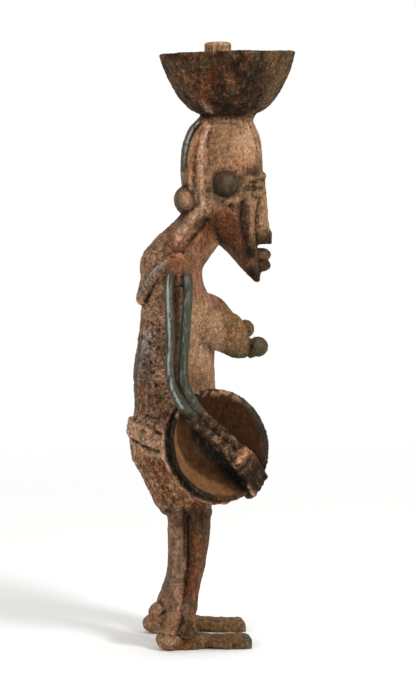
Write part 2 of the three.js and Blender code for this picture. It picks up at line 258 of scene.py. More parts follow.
def column(name, rings, sides=48, corner=2.0, ribs=0, rib_depth=0.0):
    """A closed form through rings, each (centre, half depth, half width), lowest first."""
    select_none()
    bpy.ops.mesh.primitive_circle_add(vertices=sides, radius=1, fill_type="NGON")
    piece = bpy.context.object
    piece.name = name
    for vertex in piece.data.vertices:
        x, y, _ = vertex.co
        groove = 1 - rib_depth * (1 - math.cos(math.atan2(x, y) * ribs)) / 2
        vertex.co.x = math.copysign(abs(x) ** (2 / corner), x) * groove
        vertex.co.y = math.copysign(abs(y) ** (2 / corner), y) * groove
    bpy.ops.object.mode_set(mode="EDIT")
    bpy.ops.mesh.select_all(action="SELECT")
    centre, deep, wide = rings[0]
    bpy.ops.transform.resize(value=(deep, wide, 1), center_override=(0, 0, 0))
    bpy.ops.transform.translate(value=centre)
    for after, next_deep, next_wide in rings[1:]:
        bpy.ops.mesh.extrude_region_move(TRANSFORM_OT_translate={"value": after - centre})
        bpy.ops.transform.resize(value=(next_deep / deep, next_wide / wide, 1), center_override=after)
        centre, deep, wide = after, next_deep, next_wide
    bpy.ops.mesh.select_all(action="SELECT")
    bpy.ops.mesh.normals_make_consistent(inside=False)
    bpy.ops.object.mode_set(mode="OBJECT")
    return piece


def standing_form(name, levels, sides=56, steps=3, corner=2.3, middle=0.0, lean=0.0, flat=False):
    """A form from levels of [place, low edge, high edge, half width], in thousandths of the height."""
    rows = (len(levels) - 1) * steps
    rings = []
    for row in range(rows + 1):
        place, low, high, half = between(levels, row / rows)
        rings.append((Vector(((low + high) / 2, middle, place)), (high - low) / 2, half))
    piece = column(name, rings, sides, corner)
    lowest = min(level[1] for level in levels)
    for vertex in piece.data.vertices:
        x, y, z = vertex.co
        vertex.co = at(z, y, x) if flat else at(x, y, z - lean * (x - lowest))
    face_outward(piece)
    return piece


def rod(name, points, radii, out=SIDEWAYS, sides=24, steps=5, domed=3):
    """A round-ended rod through points. Its radii are (in the rod's plane, out of it)."""
    straight = (len(points) - 1) * steps
    widest = math.radians(72)
    rings = []
    for row in range(-domed, straight + domed + 1):
        t = min(max(row / straight, 0.0), 1.0)
        past = row / domed if row < 0 else max(0, row - straight) / domed
        in_plane, out_of_plane = between(radii, t)
        dome = math.cos(past * widest)
        beyond = math.sin(past * widest) * min(in_plane, out_of_plane)
        rings.append((Vector((0, 0, t + beyond)), in_plane * dome, out_of_plane * dome))
    piece = column(name, rings, sides)
    follow_path(piece, points, out)
    face_outward(piece)
    return piece


def follow_path(piece, points, out):
    """Lays an upright form, one unit long, along the smooth line through the points."""
    known = {}
    for vertex in piece.data.vertices:
        x, y, z = vertex.co
        t = round(min(max(z, 0.0), 1.0), 6)
        if t not in known:
            heading = path_heading(points, t)
            side = (out - heading * out.dot(heading)).normalized()
            known[t] = path_point(points, t), heading, side, side.cross(heading)
        centre, heading, side, normal = known[t]
        vertex.co = centre + heading * (z - t) + normal * x + side * y


def ball(name, centre, radii, turn=0.0):
    """A ball stretched to three half sizes, in thousandths, and turned about the upright."""
    select_none()
    bpy.ops.mesh.primitive_uv_sphere_add(segments=32, ring_count=20, radius=1)
    piece = bpy.context.object
    piece.name = name
    bpy.ops.object.mode_set(mode="EDIT")
    bpy.ops.mesh.select_all(action="SELECT")
    bpy.ops.transform.resize(value=[radius * share() for radius in radii], center_override=(0, 0, 0))
    bpy.ops.object.mode_set(mode="OBJECT")
    piece.data.transform(Matrix.Translation(centre) @ Matrix.Rotation(turn, 4, "Z"))
    return piece


def button(name, centre, radius, thickness, dome=0.25):
    """A round button that looks sideways, with a bevelled edge, in thousandths."""
    wide, thick = radius * share(), thickness * share() / 2
    rings = [(Vector((0, 0, -thick * (1 + dome))), wide * 0.45, wide * 0.45)]
    for height, reach in ((-1, 0.82), (-0.75, 1), (0.75, 1), (1, 0.82), (1 + dome, 0.45)):
        rings.append((Vector((0, 0, thick * height)), wide * reach, wide * reach))
    piece = column(name, rings, 40)
    piece.data.transform(Matrix.Translation(centre) @ Matrix.Rotation(math.pi / 2, 4, "X"))
    return piece


def bowl_side(radius, depth, fullness, steps=12):
    rises = [(step / steps) ** 2 for step in range(1, steps + 1)]
    return [(radius * rise ** fullness, depth * rise) for rise in rises]


def bowl(name, radius, depth, wall, fullness):
    """A bowl that stands on the origin with its opening upward."""
    outside = bowl_side(radius, depth, fullness)
    inside = [(reach, height + wall) for reach, height in bowl_side(radius - wall, depth - wall, fullness)]
    lip = [(radius - wall * 0.2, depth + wall * 0.2), (radius - wall / 2, depth + wall * 0.28),
           (radius - wall * 0.8, depth + wall * 0.2)]
    profile = [(outside[0][0], 0)] + outside + lip + inside[::-1]
    return column(name, [(Vector((0, 0, height)), reach, reach) for reach, height in profile], 96)


def bowl_filling(name, radius, depth, wall, fullness):
    """What the bowl would hold, with room above it."""
    inside = [(reach, height + wall) for reach, height in bowl_side(radius - wall, depth - wall, fullness)]
    profile = inside + [(radius - wall, depth + wall * 3)]
    return column(name, [(Vector((0, 0, height)), reach, reach) for reach, height in profile], 96)


# Trunk, neck and belt.

TRUNK = [
    [252, -92, 0, 64], [270, -104, 3, 72], [298, -118, 8, 79], [325, -128, 10, 84], [356, -147, 12, 86],
    [398, -152, 14, 84], [452, -142, 13, 74], [519, -145, 10, 66], [575, -137, 9, 65], [655, -127, 4, 69],
    [690, -128, -11, 70], [722, -131, -14, 70], [748, -126, 3, 64], [777, -103, 22, 54], [808, -70, 30, 48],
    [832, -46, 20, 44],
]
BELT = [
    [383, -146, 12, 83], [394, -153, 17, 90], [415, -157, 18, 92], [431, -153, 16, 88], [443, -144, 11, 80],
]
APRON = [[236, -24, -2, 18], [248, -22, 6, 25], [272, -20, 4, 30], [320, -20, 10, 36]]
SKULL = [
    [695, 89, 98, 9], [720, 64, 100, 24], [763, 25, 92, 40], [798, -16, 88, 51], [830, -42, 88, 56],
    [875, -46, 98, 60], [928, -48, 102, 61], [965, -40, 98, 57], [990, -25, 89, 50], [1012, -9, 78, 44],
]
NOSE = [[768, 84, 120, 17], [790, 84, 120, 18], [800, 80, 116, 14], [859, 80, 110, 11], [896, 86, 107, 13]]

# Bands laid on the head and neck: (name, line, radii), in millimetres from the figure's own axis.
HEAD_BANDS = [
    ("rear_band", [(-3.6, -12.2, 374.5), (-8.3, -12.6, 367.3), (-11.4, -12.8, 360.3), (-12.9, -12.8, 351.2),
                   (-14.2, -12.8, 340.6), (-14.6, -12, 330)], (2.2, 2.4)),
    ("side_band", [(-3.2, -14, 372), (-6.4, -15.4, 363.1), (-7.6, -16, 356.1), (-8.3, -16.8, 349.1),
                   (-8.1, -17.4, 341.4), (-7.6, -17.7, 332), (-6.5, -17, 322),
                   (-6.8, -15.8, 314)], (3.1, 3.1)),
    ("neck_band", [(-6.1, -16.3, 317), (-11.6, -15.4, 308.3), (-20.3, -16, 299.2), (-25.6, -18, 292),
                   (-31, -21, 286)], (3.4, 3.2)),
    ("jaw_band", [(-2.6, -15.6, 305), (-8, -17.6, 297), (-14, -19.6, 290)], (2.4, 2.6)),
    ("cheek_rim", [(18, -18.4, 322), (19.4, -17.4, 312), (19.6, -16.6, 304)], (2.4, 2.2)),
    ("temple_lump", [(25.5, -17.2, 341), (30, -13.4, 341.5), (34.5, -7.4, 340)], (2.0, 2.0)),
]


def hip_bowl_place():
    """The hip bowl's foot and the way that it opens: outward, a little up and forward."""
    turn, lift = HIP_BOWL_TURN, HIP_BOWL_LIFT
    opening = Vector((math.sin(turn) * math.cos(lift), -math.cos(turn) * math.cos(lift), math.sin(lift)))
    return at(-27, -62, 380), opening


def over_mouth(along, beside, out):
    """A point over the hip bowl's mouth, along and beside the forearm and out from the rim's plane."""
    foot, opening = hip_bowl_place()
    across = UP.cross(opening).normalized()
    upward = opening.cross(across)
    forearm = across * math.cos(FOREARM_SLANT) + upward * math.sin(FOREARM_SLANT)
    rim = foot + opening * sizes().hip_bowl_depth
    return rim + forearm * along + opening.cross(forearm) * beside + opening * out


def forearm_beside():
    return (over_mouth(0, 1, 0) - over_mouth(0, 0, 0)).normalized()


def arm_points(side):
    """The hairpin of an upper arm, from the back rod's foot over the shoulder to the front rod's foot."""
    return [at(x, side * y, z) for x, y, z in (
        (-86, 120, 518), (-87, 112, 610), (-88, 103, 705), (-83, 101, 725), (-71, 101, 735), (-59, 101, 725),
        (-54, 103, 705), (-60, 112, 610), (-63, 120, 518))]


def right_arm_points():
    radius = sizes().rod_radius
    standoff = radius * 0.8
    below, above = -radius / 2, radius * 1.5
    elbow, wrist = 0.008 - sizes().hip_bowl_radius, sizes().hip_bowl_radius - WRIST_INSET
    lower = [over_mouth(along, below, standoff) for along in (wrist, 0, elbow)]
    upper = [over_mouth(along, above, standoff) for along in (elbow + radius, 0, wrist)]
    return lower + arm_points(RIGHT) + upper


def left_arm_points():
    lower = [at(6, 92, 352), at(-32, 112, 410), at(-70, 126, 468)]
    upper = [at(-42, 126, 478), at(-8, 112, 424), at(24, 92, 370)]
    return lower + arm_points(LEFT) + upper


def leg_lines(side, ahead):
    """The calf's and the shin's lines of one leg, which stands a little ahead of its own axis."""
    def line(heights, places):
        points = []
        for z, x in zip(heights, places):
            stance = side * (46 + (290 - z) / 220 * 18)
            lead = ahead * min(max((z - 30) / 40, 0), 1)
            points.append(at(x + lead, stance, z))
        return points
    calf = line([290, 221, 160, 116, 90, 40], [-68, -68, -69, -75, -81, -83])
    shin = line([290, 221, 170, 130, 94, 40], [-31, -30, -32, -40, -46, -52])
    return calf, shin


def mark(piece, group):
    """Notes which stage of the casting a form belongs to."""
    piece["form_group"] = group
    return piece


def marked(*groups):
    return [piece for piece in bpy.data.objects if piece.get("form_group") in groups]


class FIGURE_OT_trunk(bpy.types.Operator):
    """Model the trunk with its belt, front flap and shoulders"""
    bl_idname = "figure.trunk"
    bl_label = "Trunk and Belt"

    def execute(self, context):
        mark(standing_form("trunk", TRUNK, corner=2.5), "standing")
        mark(standing_form("belt", BELT, lean=0.4), "standing")
        mark(standing_form("flap", APRON, sides=32), "standing")
        for side in (RIGHT, LEFT):
            mark(ball("shoulder", at(-72, side * 86, 727), (26, 26, 22)), "standing")
            ridge = [at(-66, side * 88, 747), at(-94, side * 73, 730), at(-115, side * 50, 699),
                     at(-127, side * 22, 670), at(-128, 0, 660)]
            mark(rod("shoulder_ridge", ridge, shares([(8, 11), (8, 13), (8, 11)]), out=UP), "standing")
        return {"FINISHED"}


class FIGURE_OT_head(bpy.types.Operator):
    """Model the head with its hair bands, ears, eyes, nose and mouth"""
    bl_idname = "figure.head"
    bl_label = "Head"

    def execute(self, context):
        mark(standing_form("skull", SKULL), "standing")
        mark(standing_form("nose", NOSE, sides=24, corner=4), "standing")
        mark(standing_form("stem", [[1000, -6, 82, 44], [1014, -12, 88, 50]], sides=48), "standing")
        crest = [at(-14, 0, 1006), at(-36, 0, 978), at(-46, 0, 943), at(-47, 0, 905), at(-45, 0, 872)]
        mark(rod("crest", crest, shares([(5, 12), (7, 13), (7, 13), (6, 11)])), "standing")
        fringe = [at(62, 0, 1008), at(83, 0, 988), at(95, 0, 960), at(97, 0, 938)]
        mark(rod("fringe", fringe, shares([(5, 15), (6, 17), (5, 15), (4, 10)])), "standing")
        mark(ball("knot", at(-44, 0, 852), (23, 40, 27)), "standing")
        mark(ball("upper_lip", at(101, 0, 747), (19, 24, 13)), "standing")
        mark(ball("lower_lip", at(101, 0, 727), (19, 22, 13)), "standing")
        for side in (RIGHT, LEFT):
            lock = [(-2, 27, 1000), (-27, 30, 972), (-38, 31, 935), (-37, 31, 893)]
            lock = [at(x, side * y, z) for x, y, z in lock]
            mark(rod("lock", lock, shares([6, 7, 7, 6])), "standing")
            brow = [at(56, side * 52, 890), at(90, side * 34, 899), at(104, side * 4, 898)]
            mark(rod("brow", brow, shares([6, 7, 6]), out=UP), "standing")
            for height in (882, 867):
                lid = at(89, side * 33, height)
                mark(ball("lid", lid, (9, 17, 9), side * math.radians(40)), "standing")
            mark(button("ear", at(23, side * 61, 884), 25, 20, 0.5), "standing")
            for name, line, radii in HEAD_BANDS:
                mark(rod(name, line_at(line, side), [(radii[0] * MM, radii[1] * MM)]), "standing")
        return {"FINISHED"}


class FIGURE_OT_breasts(bpy.types.Operator):
    """Model both breasts"""
    bl_idname = "figure.breasts"
    bl_label = "Breasts"

    def execute(self, context):
        near = [at(x, RIGHT * 42, z) for x, z in ((-20, 612), (20, 606), (37, 592), (52, 578), (72, 570))]
        far = [at(x, LEFT * 42, z) for x, z in ((-14, 640), (10, 632), (27, 621), (45, 608), (64, 597))]
        near_radii = [(30, 19), (41, 25), (36, 27), (27, 23), (18, 17)]
        far_radii = [(38, 20), (35, 25), (29, 26), (23, 21), (17, 17)]
        mark(rod("right_breast", near, shares(near_radii), sides=32), "standing")
        mark(rod("left_breast", far, shares(far_radii), sides=32), "standing")
        mark(ball("right_tip", at(88, -44, 575), (19.5, 19.5, 19.5)), "standing")
        mark(ball("left_tip", at(78, 45, 601), (18, 18, 18)), "standing")
        return {"FINISHED"}


class FIGURE_OT_legs(bpy.types.Operator):
    """Model both legs and their bar-like feet"""
    bl_idname = "figure.legs"
    bl_label = "Legs and Feet"

    def execute(self, context):
        for side, ahead in ((RIGHT, 0), (LEFT, 20)):
            calf, shin = leg_lines(side, ahead)
            calf_radii = [(19, 30), (18, 27), (18.5, 25), (21, 25), (23, 26), (22, 24)]
            shin_radii = [(21, 29), (20, 27), (18, 25), (16.5, 24), (16, 24), (16, 23)]
            mark(rod("calf", calf, shares(calf_radii), sides=32), "standing")
            mark(rod("shin", shin, shares(shin_radii), sides=32), "standing")
            mark(ball("ankle_ball", at(-105 + ahead * 2, side * 64, 71), (20.5, 20.5, 20.5)), "standing")
            mark(ball("heel", at(-81 - ahead / 2, side * 65, 19), (31, 28, 22)), "standing")
            mark(button("ankle_disc", at(-53, side * 86, 40), 15.5, 14), "standing")
            self.foot(side, ahead / 3)
        return {"FINISHED"}

    def foot(self, side, ahead):
        levels = [[-90 + ahead, -4, 36, 20], [-40 + ahead, -4, 34, 20], [-12 + ahead, 4, 26, 22],
                  [18 + ahead, -3, 23, 26], [52 + ahead, -4, 22, 28], [68 + ahead, -4, 20, 27],
                  [72 + ahead, -2, 16, 24]]
        mark(standing_form("foot", levels, sides=32, corner=3.4, middle=side * 64, flat=True), "standing")


class FIGURE_OT_hip_bowl(bpy.types.Operator):
    """Model the bowl at the hip and hollow the body that it is sunk in"""
    bl_idname = "figure.hip_bowl"
    bl_label = "Hip Bowl"

    def execute(self, context):
        given = (sizes().hip_bowl_radius, sizes().hip_bowl_depth, sizes().hip_bowl_wall,
                 HIP_BOWL_FULLNESS)
        foot, opening = hip_bowl_place()
        placed = Matrix.Translation(foot) @ UP.rotation_difference(opening).to_matrix().to_4x4()
        filling = bowl_filling("hip_filling", *given)
        filling.data.transform(placed)
        for piece in marked("standing"):
            if piece.name.split(".")[0] in ("trunk", "belt", "flap", "calf", "shin"):
                make_active(piece)
                cut = piece.modifiers.new("hollow", "BOOLEAN")
                cut.operation = "DIFFERENCE"
                cut.solver = "EXACT"
                cut.object = filling
                bpy.ops.object.modifier_apply(modifier="hollow")
        bpy.data.objects.remove(filling)
        shell = mark(bowl("hip_shell", *given), "standing")
        shell.data.transform(placed)
        self.band(foot, opening)
        return {"FINISHED"}

    def band(self, foot, opening):
        """A raised band hugs the bowl behind its rim, round the sides that face back and down."""
        across = UP.cross(opening).normalized()
        upward = opening.cross(across)
        middle = foot + opening * (sizes().hip_bowl_depth - 0.010)
        points = []
        for step in range(12):
            angle = math.radians(130 + step * 160 / 11)
            points.append(middle + across * math.cos(angle) * 0.0365 + upward * math.sin(angle) * 0.0365)
        mark(rod("hip_band", points, [(0.0045, 0.0025), (0.0045, 0.004), (0.0045, 0.004), (0.0045, 0.0025)],
                 out=opening), "standing")


class FIGURE_OT_arms(bpy.types.Operator):
    """Model the hairpin arms, their wrist rings and their hands"""
    bl_idname = "figure.arms"
    bl_label = "Arms and Hands"

    def execute(self, context):
        radius = sizes().rod_radius
        forearm = [1.22, 1.22, 1.18]
        swelling = forearm + [1.0] * len(arm_points(RIGHT)) + forearm[::-1]
        right_radii = [(radius * more, radius * more) for more in swelling]
        mark(rod("right_arm", right_arm_points(), right_radii), "standing")
        mark(rod("left_arm", left_arm_points(), [(radius, radius)]), "standing")
        for side in (RIGHT, LEFT):
            mark(ball("web", at(-71, side * 99, 712), (14, 9, 19)), "standing")
        self.right_hand(radius)
        self.left_hand(radius)
        return {"FINISHED"}

    def right_hand(self, radius):
        standoff, beside = radius * 0.8, radius * 2
        wrist, knuckles = sizes().hip_bowl_radius - WRIST_INSET, sizes().hip_bowl_radius - 0.0065
        out, middle = forearm_beside(), radius / 2
        for ring in range(3):
            along = wrist - (ring + 0.5) * RING_GAP
            ends = [over_mouth(along, middle, standoff), over_mouth(along + 0.0014, middle, standoff)]
            mark(rod("wrist_ring", ends, [(radius + 0.0026, beside + 0.0022)], out=out, sides=32), "standing")
        palm = [over_mouth(wrist, middle, standoff), over_mouth(knuckles, middle - 0.0024, standoff)]
        mark(rod("palm", palm, [(0.0044, 0.0079), (0.0048, 0.0096)], out=out), "standing")
        for finger in range(4):
            across = middle - 0.0024 + (finger - 2) * 0.0048
            over = sizes().hip_bowl_radius - 0.0006
            bend = [over_mouth(knuckles, across * 0.9, standoff + 0.0012), over_mouth(over, across, standoff),
                    over_mouth(over + 0.0012, across * 1.1, -standoff - 0.0024)]
            mark(rod("finger", bend, [(0.0027, 0.0027)], out=out, sides=16), "standing")

    def left_hand(self, radius):
        palm = [at(14, 90, 366), at(22, 76, 338)]
        mark(rod("left_palm", palm, [(0.0077, radius), (0.0086, radius)]), "standing")
        for finger in range(4):
            apart = Vector(((finger - 1.5) * 0.00384, 0, 0))
            line = [at(16, 80, 344) + apart, at(18, 68, 306) + apart]
            mark(rod("left_finger", line, [(0.0024, 0.0024)], sides=16), "standing")


class FIGURE_OT_head_bowl(bpy.types.Operator):
    """Model the bowl on the head and the ribbed peg that rises from its floor"""
    bl_idname = "figure.head_bowl"
    bl_label = "Head Bowl"

    def execute(self, context):
        given = sizes()
        shell = bowl("head_shell", given.head_bowl_radius, given.head_bowl_depth, given.head_bowl_wall,
                     HEAD_BOWL_FULLNESS)
        foot, top = given.head_bowl_wall / 2, given.head_bowl_depth + given.peg_above
        wide = given.peg_radius
        profile = [(wide, foot), (wide, top - 0.0016), (wide * 0.96, top - 0.0006), (wide * 0.8, top),
                   (wide * 0.4, top + 0.0003)]
        rings = [(Vector((-0.0068, 0, height)), reach, reach) for reach, height in profile]
        peg = column("peg", rings, 144, ribs=16, rib_depth=0.12)
        placed = Matrix.Translation(at(38, 0, 1010)) @ Matrix.Rotation(math.radians(-1.4), 4, "Y")
        for piece in (shell, peg):
            piece.data.transform(placed)
            mark(piece, "standing")
        return {"FINISHED"}


# The casting: everything is joined, remade as one skin, worn and corroded.

def places(mesh):
    found = np.empty(len(mesh.vertices) * 3)
    mesh.vertices.foreach_get("co", found)
    return found.reshape(-1, 3)


def outward(mesh):
    found = np.empty(len(mesh.vertices) * 3)
    mesh.vertices.foreach_get("normal", found)
    return found.reshape(-1, 3)


def on_figure(mesh):
    """Every point of the skin in millimetres from the figure's own axis."""
    return (places(mesh) + np.array(MIDDLE)) / MM


def move_to(mesh, points):
    """Puts the skin at these places, with nothing below the ground."""
    moved = points * MM - np.array(MIDDLE)
    moved[:, 2] = np.maximum(moved[:, 2], 0)
    mesh.vertices.foreach_set("co", moved.ravel())
    mesh.update()


def ramp(value, low, high):
    """0 below low, 1 above high and smooth between, or the other way round."""
    t = np.clip((value - low) / (high - low), 0, 1)
    return t * t * (3 - 2 * t)


def line_reach(points, line):
    """How far each point is from a bent line, in the line's own unit."""
    line = [np.array(point, float) for point in line]
    best = np.full(len(points), np.inf)
    if len(line) == 1:
        return np.linalg.norm(points - line[0], axis=1)
    for start, end in zip(line, line[1:]):
        along = end - start
        t = np.clip((points - start) @ along / (along @ along), 0, 1)
        best = np.minimum(best, np.linalg.norm(points - start - t[:, None] * along, axis=1))
    return best


def mirrored(line):
    """The same line on the left side."""
    return [(x, -y, z) for x, y, z in line]


# Lines cut into the skin, or raised from it where the depth is below zero: (line, half width, depth),
# in millimetres from the figure's own axis.
CUTS = [
    ([(-7.2, -5.3, 374.3), (-11.4, -4.6, 369.4), (-14.4, -6.1, 361.6), (-16, -7, 353.2), (-17, -6.5, 344.7)],
     1.3, 0.8),
    ([(-1.6, -16.7, 368), (-3.0, -18.4, 361.7), (-3.2, -19.6, 354), (-2.9, -20.4, 346.3)], 1.6, 0.9),
    ([(25.8, -13.1, 376), (28.4, -13.6, 370), (30.6, -14.4, 364), (32.3, -14.6, 355), (34.9, -12.1, 353.5)],
     1.1, 1.2),
    ([(0, -15.4, 374), (7.5, -17.5, 375), (15.3, -17.9, 374.3), (24.8, -16.1, 371.1)], 0.9, 0.6),
    ([(23, -20.3, 330.6), (30.5, -17.1, 330), (36, -13.1, 330.4)], 0.8, 1.2),
    ([(23, -20.7, 335.4), (28, -18.4, 336.4), (36, -12.4, 335.6)], 0.8, 0.7),
    ([(22, -19.4, 318), (22, -18, 305.3), (24.3, -16.1, 293.9), (27, -14.1, 286)], 3.0, 2.8),
    ([(33.9, -6, 296.2), (38.2, -5.8, 297.3), (43.8, -4.3, 298.3)], 0.7, 0.8),
    ([(33.9, -6, 298.8), (38.2, -5.8, 299.8), (43.8, -4.3, 300.9)], 0.8, -0.7),
    ([(-4, -18, 305.5), (-11.2, -19, 298.5), (-17.1, -20.3, 291.6), (-22, -23, 285)], 2.4, 1.0),
    ([(-10, -15, 313), (-16, -14.6, 306), (-23, -15, 299), (-30, -17, 291)], 3.2, -1.1),
    ([(-2, -18, 298), (-8, -21, 290), (-12, -23, 282)], 2.6, -0.7),
    ([(4, -18, 300), (-1, -20, 292), (-5, -22, 285)], 1.3, 0.6),
    ([(-34.2, -32.9, 279), (-28.1, -29.1, 284), (-21, -28.1, 283.7), (-15.1, -27.1, 278.7)], 1.6, -1.3),
    ([(-35, -33, 278), (-40.3, -25, 272.5), (-44.1, -20, 266.5), (-47, -11, 258), (-49.5, -6, 252),
      (-50, 0, 250)], 2.6, -1.3),
    ([(-36, -35.7, 272.5), (-40.4, -25.2, 264), (-44.1, -19.6, 257.5), (-46.4, -12, 250),
      (-48.4, 0, 244.5)], 1.5, 1.7),
    ([(-57.5, 2.4, 150), (-56.1, -11, 149.6), (-53.6, -19.5, 149), (-47.4, -27.2, 145.8),
      (-40.7, -31.7, 144.4)], 1.5, 2.4),
    ([(-58, -2, 163), (-54, -18, 162), (-47, -27, 160), (-41, -30, 157)], 2.2, -0.9),
    ([(-50, -14, 169), (-46, -22, 168.6), (-40, -27, 167)], 1.3, 1.1),
    ([(-34.2, -16.9, 99), (-31.6, -23.1, 99.6), (-28.2, -27.2, 100.1)], 1.4, 1.5),
    ([(-21.7, -26.6, 101), (-21.4, -26.8, 86.8), (-21.5, -27.4, 76.1), (-21.5, -28, 65.3)], 1.2, 0.8),
    ([(-24.2, -28.9, 88), (-24, -28.9, 76), (-23.8, -29, 66), (-25.6, -29.9, 54)], 1.3, -0.8),
    ([(-25.8, -30.2, 44.2), (-27.4, -31.3, 33.6)], 1.6, 0.6),
    ([(2, -17, 240), (8, -19, 230), (13, -20, 222)], 0.9, 0.6),
    ([(8, -17, 240), (14, -19, 230), (18, -20, 222)], 0.8, 0.6),
    ([(14, -17, 236), (19, -18, 228), (22, -19, 220)], 0.8, 0.5),
]
ONE_SIDED_CUTS = [
    ([(12.4, -21.1, 316.8)], 1.7, 2.8),
    ([(-15.5, -31.8, 171.9), (-13, -33.1, 169.6)], 1.6, 1.6),
    ([(-36.9, -30.7, 29.3), (-39.6, -31.4, 25.3)], 1.1, 2.6),
]
PIT_ROW = [
    (-46.4, -14.8, 233.4), (-43.9, -17.9, 234.4), (-42.6, -19.1, 233.6), (-41.4, -20.6, 233.2),
    (-38, -22.5, 233),
]
# The groove round the root of each breast's tip: (centre, radius).
TIP_GROOVES = [((26.8, -16.2, 214.6), 6.2), ((24.2, 16.6, 225.0), 6.4)]


def carve(points, normals, line, half_width, depth):
    """Moves the skin in along its normals near a line, or out where the depth is below zero."""
    corners = np.array(line, float)
    room = half_width * 2.6 + 1
    near = np.all((points > corners.min(0) - room) & (points < corners.max(0) + room), axis=1)
    near = np.nonzero(near)[0]
    if not len(near):
        return
    reach = line_reach(points[near], line)
    points[near] -= normals[near] * (depth * np.exp(-(reach / half_width) ** 2))[:, None]


def toe_lines():
    """Four grooves across the front of each foot, in millimetres from the figure's own axis."""
    lines = []
    for side, ahead in ((RIGHT, 0), (LEFT, 20 / 3)):
        for groove in range(4):
            across = side * 64 + (groove - 1.5) * 10
            start, end = on_axis(at(55 + ahead, across, 22)), on_axis(at(72 + ahead, across, 18))
            low = on_axis(at(75 + ahead, across, 0))
            lines.append([tuple(start), tuple(end), tuple(low)])
    return lines


def zones(points):
    """How far each point, in millimetres from the figure's own axis, is in each region, from 0 to 1."""
    x, y, z = points.T
    given = sizes()
    foot, opening = hip_bowl_place()
    from_foot = points - on_axis(foot)
    height = from_foot @ np.array(opening)
    reach = np.linalg.norm(from_foot - height[:, None] * np.array(opening), axis=1)
    deep, wide, wall = given.hip_bowl_depth / MM, given.hip_bowl_radius / MM, given.hip_bowl_wall / MM
    risen = np.clip(height / deep, 0, 1)
    outer = wide * risen ** HIP_BOWL_FULLNESS
    inner = (wide - wall) * np.clip((height - wall) / (deep - wall), 0, 1) ** HIP_BOWL_FULLNESS
    in_bowl = (height > -1.5) & (height < deep + 2.5)
    floor = wall + (deep - wall) * np.clip(reach / (wide - wall), 0, 1.2) ** (1 / HIP_BOWL_FULLNESS)
    hip_inside = np.maximum(ramp(reach - inner, 1.4, 0.4),
                            ramp(height - floor, -1.6, -0.8) * ramp(reach - wide + wall, 1.2, 0.4))
    hip_inside = hip_inside * in_bowl * (height > 1)
    hip_rim = ramp(height, deep - 1.8, deep - 0.4) * ramp(np.abs(reach - wide + wall / 2), 3.4, 2.2)
    hip_rim = hip_rim * ramp(height, deep + 2.2, deep + 1.2)
    hip_outside = in_bowl * ramp(reach - outer, 6.5, 4.5) * ramp(reach - outer, -3.2, -1.6) * (1 - hip_inside)
    right_arm = [on_axis(path_point(right_arm_points(), t)) for t in np.linspace(0, 1, 81)]
    left_arm = [on_axis(path_point(left_arm_points(), t)) for t in np.linspace(0, 1, 81)]
    near_arm = np.minimum(line_reach(points, right_arm), line_reach(points, left_arm))
    arms = ramp(near_arm, given.rod_radius / MM + 2.0, given.rod_radius / MM + 0.9)
    palm = [on_axis(over_mouth(along, 0, 0.002)) for along in (0.028, 0.041)]
    hand = ramp(line_reach(points, palm), 13, 11)
    hand = hand * ramp(height, deep - 5, deep - 2.5)
    forearm = arms * ramp(z, 178, 172) * (1 - hand)
    arms = arms * (1 - hand)
    front_rod = arms * ramp(x + 0.035 * (z - 250), -29, -27) * ramp(z, 272, 266)
    head_bowl = ramp(z, 377.2, 380)
    peg_reach = np.hypot(x - 8.0, y)
    peg = ramp(peg_reach, 11.6, 10.8) * ramp(z, 385, 388)
    from_seat = np.hypot(x - 38 * share() / MM, y)
    bowl_height = np.clip(z - 1010 * share() / MM, 0, 60)
    skin = given.head_bowl_radius / MM * np.clip(bowl_height / 44, 0, 1) ** HEAD_BOWL_FULLNESS
    bowl_inside = head_bowl * ramp(skin - from_seat, 1.4, 2.4) * (1 - peg)
    head = ramp(z + 0.55 * x, 291, 297) * (1 - head_bowl) * ramp(z, 258, 262)
    legs = ramp(z, 103, 98)
    feet = ramp(z, 17, 13) * legs
    slant = z + 0.4 * (x + 59)
    belt = ramp(slant, 143, 148) * ramp(slant, 172, 166) * (1 - arms) * (1 - hip_outside)
    trunk = (1 - head) * (1 - head_bowl) * (1 - legs) * (1 - arms) * (1 - hip_inside) * (1 - hip_outside)
    trunk = trunk * (1 - hand)
    breasts = ramp(x, 4, 9) * ramp(z, 200, 205) * ramp(z, 252, 246) * (1 - head)
    back = trunk * ramp(x, -23, -33)
    ear = ramp(np.hypot(x - 8.6, z - 332.4), 10.2, 9.2) * ramp(np.abs(y), 21.5, 23)
    front = trunk * (1 - back) * (1 - breasts) * (1 - belt) * ramp(z, 170, 176)
    return {
        "hip_inside": hip_inside * (1 - arms), "hip_rim": hip_rim, "hip_outside": hip_outside, "arms": arms,
        "forearm": forearm, "front_rod": front_rod, "head_bowl": head_bowl * (1 - peg), "peg": peg,
        "bowl_inside": bowl_inside, "head": head, "legs": legs, "feet": feet, "belt": belt, "hand": hand,
        "trunk": trunk, "breasts": breasts, "back": back, "ear": ear, "front": front,
    }


def weigh(piece, name, weights):
    """Keeps a weight for each vertex in a vertex group."""
    group = piece.vertex_groups.new(name=name)
    steps = np.round(np.clip(weights, 0, 1) * 20).astype(int)
    for step in range(1, 21):
        chosen = np.nonzero(steps == step)[0]
        if len(chosen):
            group.add(chosen.tolist(), step / 20, "REPLACE")


def displace(piece, name, kind, scale, strength, group, **settings):
    """Applies a Displace modifier with one procedural texture where the group allows."""
    pattern = bpy.data.textures.new(name, kind)
    pattern.noise_scale = scale
    for key, value in settings.items():
        setattr(pattern, key, value)
    modifier = piece.modifiers.new(name, "DISPLACE")
    modifier.texture = pattern
    modifier.texture_coords = "LOCAL"
    modifier.strength = strength
    modifier.mid_level = 0.5
    modifier.vertex_group = group
    bpy.ops.object.modifier_apply(modifier=name)
    bpy.data.textures.remove(pattern)


